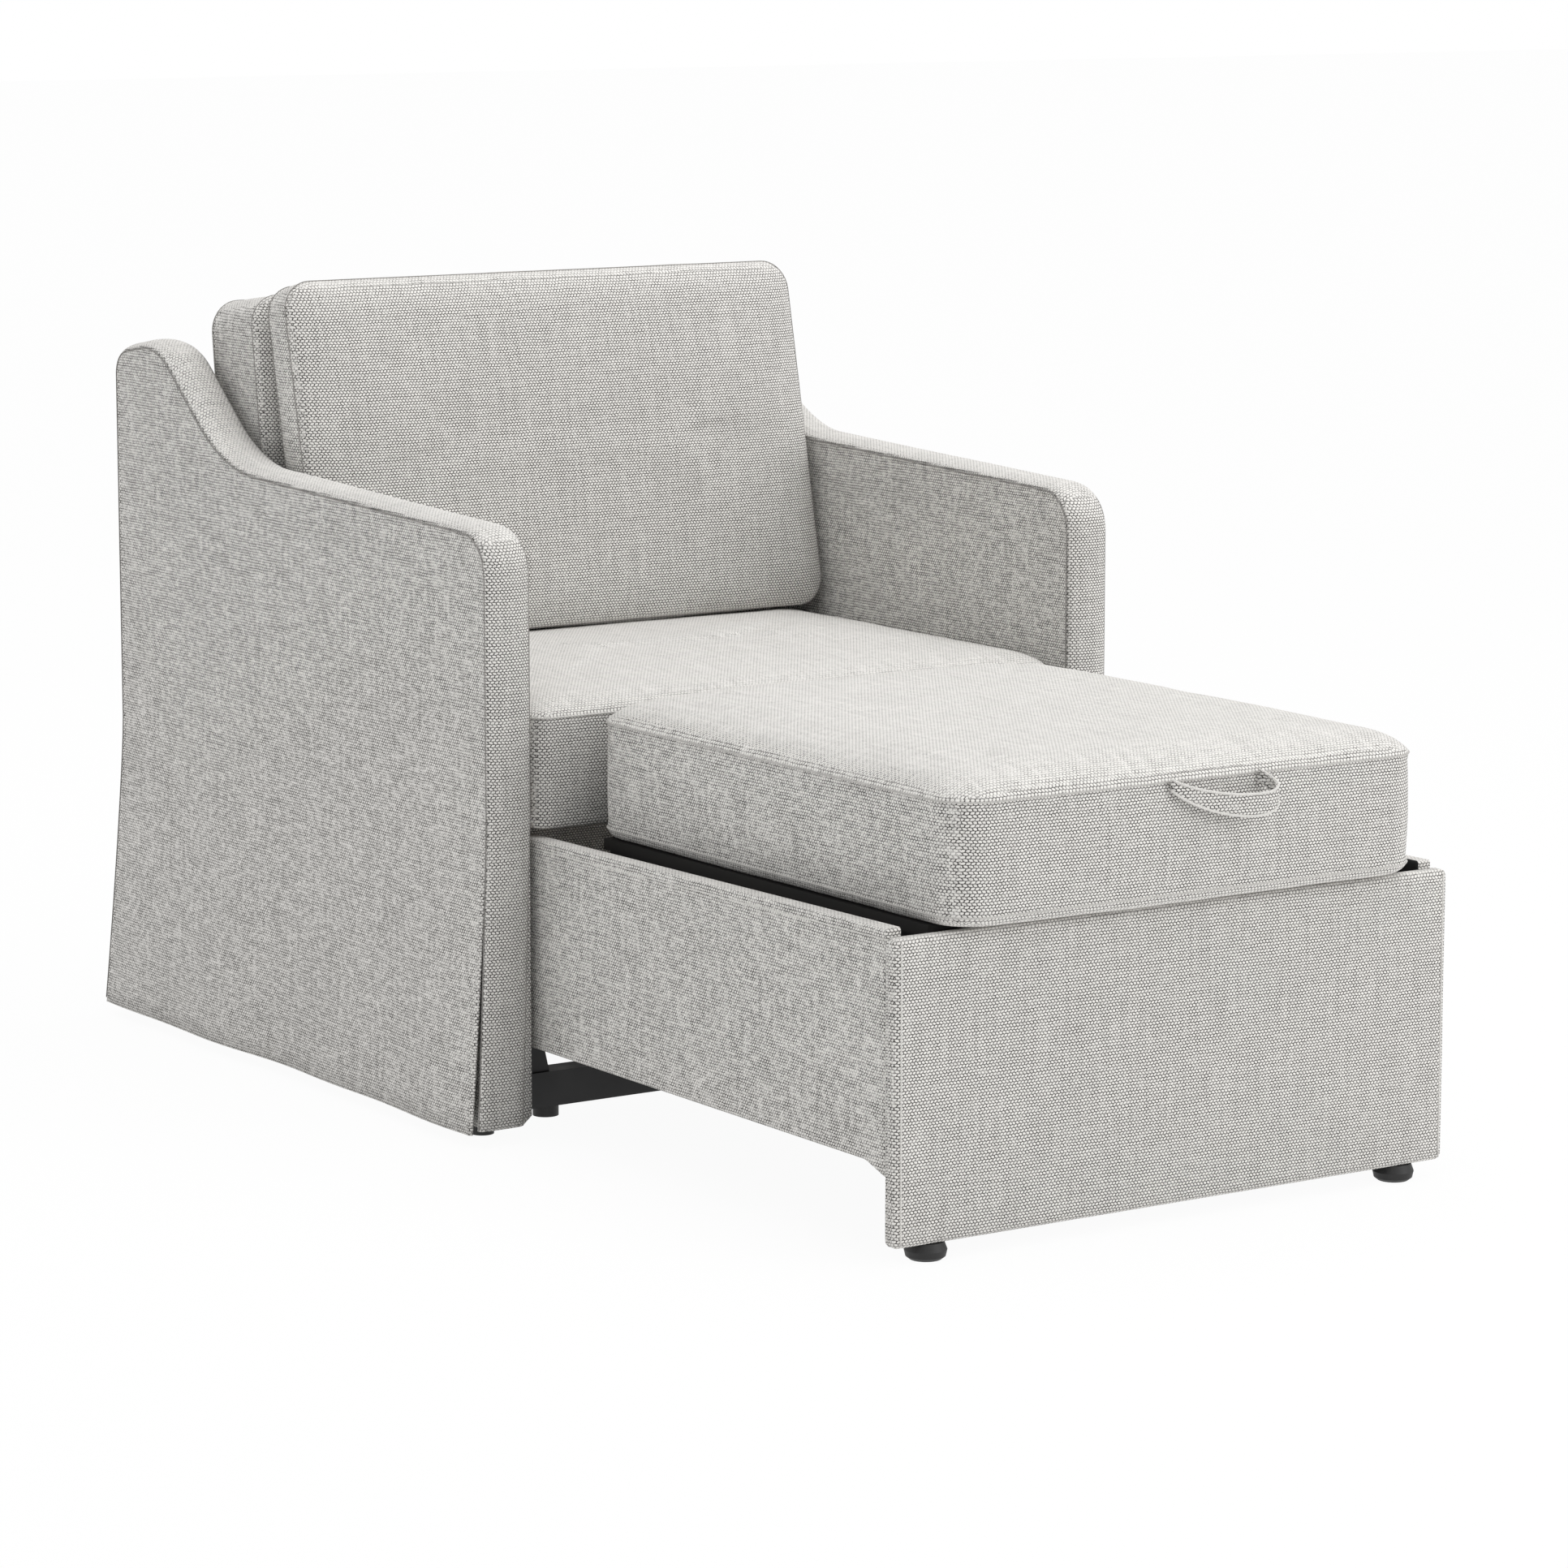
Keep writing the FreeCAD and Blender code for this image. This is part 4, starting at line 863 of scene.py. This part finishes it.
panel_mid = Vector((0.0, (panel_low.y + panel_high.y) / 2, (panel_low.z + panel_high.z) / 2))
front_board = boxed_cushion(
    "front_panel_cover", half_w=(panel_high.x - panel_low.x) / 2 - 0.0004,
    half_d=(panel_high.z - panel_low.z) / 2 - 0.0004, low=-0.0045, high=0.0045, crown_top=0.0061,
    crown_low=0.0055, corner=0.0070, bulge=0.0004, place=lambda p: panel_mid + Vector((p.x, -p.z, p.y)),
    reach=0.010, reach_low=0.006, side_count=60)
soften(front_board, 0.0006, 9.0, 71)
finish_piece(front_board["piece"], "extension_box", ["front_panel"])
for side, label in ((1, "right"), (-1, "left")):
    edge_x = side * (panel_high.x - 0.0075)
    fold_height = panel_high.z - panel_low.z - 0.008
    line = [Vector((edge_x, panel_low.y + 0.0007, panel_low.z + 0.004 + fold_height * k / 30))
            for k in range(31)]
    # The folds are drawn in the paler hem cloth, a painted highlight.
    finish_piece(tube("front_panel_%s_fold" % label, line, 0.0008, hem_highlight_cloth, closed=False),
                 "extension_box")


def covered_side(side, label):
    """Side board: cloth outside, black lining inside, and a hem that dips towards the panel."""
    low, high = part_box("box_side_%s" % label)
    front, rear = low.y + 0.0004, high.y - 0.0004
    bottom, top = low.z + 0.0004, high.z - 0.0004
    corners = [(front, bottom - 0.012, 0.004), (front + 0.036, bottom, 0.030), (rear, bottom, 0.004),
               (rear, top - 0.008, 0.004), (front, top, 0.004)]
    total = len(corners)

    def ring_at(inset):
        """The board's outline drawn in from its edge, always with the same number of points."""
        moved = []
        for i, (y, z, radius) in enumerate(corners):
            here = Vector((y, z))
            first = (here - Vector(corners[i - 1][:2])).normalized()
            second = (Vector(corners[(i + 1) % total][:2]) - here).normalized()
            inwards = (Vector((-first.y, first.x)) + Vector((-second.y, second.x))).normalized()
            step = inset / inwards.dot(Vector((-first.y, first.x)))
            convex = first.x * second.y - first.y * second.x > 0
            moved.append((here + inwards * step, max(radius - inset, 0.001) if convex else radius + inset))
        ring = []
        for i, (here, radius) in enumerate(moved):
            before, after = moved[i - 1][0], moved[(i + 1) % total][0]
            to_before, to_after = (before - here).normalized(), (after - here).normalized()
            reach = radius / math.tan(to_before.angle(to_after) / 2)
            start, end = here + to_before * reach, here + to_after * reach
            ring += [start.lerp(here, k / 6).lerp(here.lerp(end, k / 6), k / 6) for k in range(7)]
        return ring

    near, far = abs(low.x), abs(high.x)
    inner_x, outer_x = min(near, far), max(near, far)
    profile = [(0.016, inner_x + 0.0006), (0.004, inner_x + 0.0006), (0.0014, inner_x + 0.0009),
               (0.0003, inner_x + 0.0022), (0.0, inner_x + 0.004), (0.0, outer_x - 0.005),
               (0.0006, outer_x - 0.0024), (0.0020, outer_x - 0.0008), (0.0050, outer_x - 0.0003),
               (0.0160, outer_x - 0.0003)]
    points = []
    for inset, x in profile:
        ring = ring_at(inset)
        count = len(ring)
        points += [Vector((side * x, p.x, p.y)) for p in ring]
    faces = loop_faces(len(profile), count)
    faces.append(tuple(reversed(range(count))))
    faces.append(tuple((len(profile) - 1) * count + k for k in range(count)))
    piece = mesh_object("box_side_%s_cover" % label, points, faces, upholstery)
    piece.data.materials.append(lining)
    outward(piece)
    for polygon in piece.data.polygons:
        polygon.use_smooth = len(polygon.vertices) == 4
        if polygon.normal.x * side < -0.6:
            polygon.material_index = 1
    finish_piece(piece, "extension_box", ["box_side_%s" % label])
    line = [Vector((side * (outer_x - 0.0002), front + 0.002 + (rear - front - 0.004) * k / 40,
                    top - 0.0105 - 0.008 * k / 40 + 0.0004 * math.sin(k * 1.3))) for k in range(41)]
    # The hem is drawn in the paler hem cloth, a painted highlight.
    finish_piece(tube("box_side_%s_hem" % label, line, 0.0007, hem_highlight_cloth, closed=False),
                 "extension_box")


covered_side(1, "right")
covered_side(-1, "left")


# Timber frames and rails
# Sawn softwood inside the covers, seen only from below: pale, with long grain and a few
# darker growth bands.
timber, wood_tree, wood_shader = new_material("sawn_softwood")
wx, wy, wz = split(place_on(wood_tree))
stretched = join(wx * 4.0, wy * 30.0, wz * 60.0)
bands = clouds(stretched, 3.0, 6.0, 0.6)
fine = clouds(stretched, 24.0, 3.0)
wood_colour = mixed((bands * 1.5 - 0.25).clamped(), (0.42, 0.27, 0.14, 1.0), (0.62, 0.45, 0.27, 1.0))
feed(wood_colour, wood_shader, "Base Color")
feed(fine * 0.25 + 0.55, wood_shader, "Roughness")
feed(bumped(fine, 0.3, 0.0005), wood_shader, "Normal")


def dress(names, material):
    """Give frame pieces that stay as they are their finish."""
    for name in names:
        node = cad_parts[name]
        node.data.materials.clear()
        node.data.materials.append(material)
        node.data.polygons.foreach_set("material_index", [0] * len(node.data.polygons))


dress(("arm_frame_right", "arm_frame_left", "seat_front_rail", "seat_rear_rail", "seat_side_rails",
       "rear_rail", "back_frame"), timber)


# Springs
# Zigzag springs of drawn steel wire, with a faint dark oxide.
steel, steel_tree, steel_shader = new_material("spring_steel_wire")
steel_cloud = clouds(place_on(steel_tree), 90.0, 4.0)
feed(mixed(steel_cloud, (0.20, 0.19, 0.18, 1.0), (0.42, 0.41, 0.40, 1.0)), steel_shader, "Base Color")
feed(steel_cloud * 0.3 + 0.25, steel_shader, "Roughness")
steel_shader.inputs["Metallic"].default_value = 1.0
dress(("seat_springs",), steel)


# Black metalwork
# The trestle, links, brackets and hinges: steel with a satin black powder coat, slightly
# dimpled and a little worn.
coat, coat_tree, coat_shader = new_material("black_powder_coat")
coat_place = place_on(coat_tree)
dimples = clouds(coat_place, 1400.0)
scuffs = clouds(coat_place, 25.0, 5.0)
feed(mixed(scuffs, (0.004, 0.004, 0.004, 1.0), (0.014, 0.014, 0.015, 1.0)), coat_shader, "Base Color")
feed(scuffs * 0.3 + 0.35, coat_shader, "Roughness")
feed(bumped(dimples, 0.2, 0.0002), coat_shader, "Normal")
dress(("rear_trestle", "link_brackets", "link_head_pins", "front_link_right", "front_link_left",
       "rear_link_right", "rear_link_left", "hinge_fixed_leaves", "hinge_moving_leaves", "hinge_pins",
       "platform_rails"), coat)


# Glides, feet and guide pads
# Moulded black plastic with a fine matt texture.
plastic, plastic_tree, plastic_shader = new_material("moulded_black_plastic")
pebbles = clouds(place_on(plastic_tree), 1800.0, 1.0)
feed(mixed(pebbles, (0.006, 0.006, 0.006, 1.0), (0.016, 0.016, 0.016, 1.0)), plastic_shader, "Base Color")
feed(pebbles * 0.2 + 0.45, plastic_shader, "Roughness")
feed(bumped(pebbles, 0.25, 0.0002), plastic_shader, "Normal")
dress(("front_glides", "trestle_glides", "arm_feet", "guide_pads"), plastic)


# Boards of the box and the platform
# Plywood stained black, with the grain just showing through.
board, board_tree, board_shader = new_material("black_stained_board")
bx, by, bz = split(place_on(board_tree))
board_grain = clouds(join(bx * 90.0, by * 5.0, bz * 90.0), 2.0, 5.0)
feed(mixed(board_grain, (0.003, 0.003, 0.003, 1.0), (0.020, 0.018, 0.016, 1.0)), board_shader, "Base Color")
feed(board_grain * 0.3 + 0.6, board_shader, "Roughness")
dress(("box_floor", "box_rear_board", "panel_batten", "platform_board"), board)


# Floor and light
# A plain white studio: a pale floor and even soft light from above and in front.
floor_mesh = bpy.data.meshes.new("studio_floor")
floor_reach = 30.0
floor_mesh.from_pydata([(-floor_reach, -floor_reach, 0), (floor_reach, -floor_reach, 0),
                        (floor_reach, floor_reach, 0), (-floor_reach, floor_reach, 0)], [], [(0, 1, 2, 3)])
floor = bpy.data.objects.new("studio_floor", floor_mesh)
bpy.context.collection.objects.link(floor)
floor_material, floor_tree, floor_shader = new_material("studio_floor_white")
floor_shader.inputs["Base Color"].default_value = (0.93, 0.93, 0.93, 1.0)
floor_shader.inputs["Roughness"].default_value = 0.95
floor_shader.inputs["Specular IOR Level"].default_value = 0.0


def seen_straight(tree):
    """1 for rays from the camera, and for those seen in metal or through glass."""
    rays = ("Is Camera Ray", "Is Glossy Ray", "Is Transmission Ray")
    straight, mirrored, through = Flow.node(tree, "ShaderNodeLightPath", output=rays)
    return (straight + mirrored + through).clamped()


glow = Flow.node(floor_tree, "ShaderNodeEmission", {}, {"Strength": 1.0})
lit = Flow(floor_tree, floor_shader.outputs[0])
shaders = {0: seen_straight(floor_tree) * 0.95, 1: lit, 2: glow}
floor_look = Flow.node(floor_tree, "ShaderNodeMixShader", {}, shaders)
feed(floor_look, floor_tree.nodes["Material Output"], "Surface")
floor.data.materials.append(floor_material)

world = bpy.data.worlds.new("studio")
bpy.context.scene.world = world
world.use_nodes = True
sky = world.node_tree
back = sky.nodes["Background"]
ambient = 0.79
feed(seen_straight(sky) * (1.0 - ambient) + ambient, back, "Strength")
back.inputs["Color"].default_value = (1.0, 1.0, 1.0, 1.0)


def studio_lamp(name, place, aim, size, power):
    """Large soft area lamp turned towards a point."""
    data = bpy.data.lights.new(name, "AREA")
    data.size = size
    data.energy = power
    lamp = bpy.data.objects.new(name, data)
    lamp.location = place
    lamp.rotation_euler = (Vector(aim) - Vector(place)).to_track_quat("-Z", "Y").to_euler()
    bpy.context.collection.objects.link(lamp)


studio_lamp("overhead_softbox", (0.6, -0.4, 3.6), (0, 0, 0.3), 3.2, 48.0)
studio_lamp("front_softbox", (2.2, -4.2, 1.7), (0, 0, 0.35), 2.4, 52.0)

bpy.context.scene.view_settings.view_transform = "Standard"
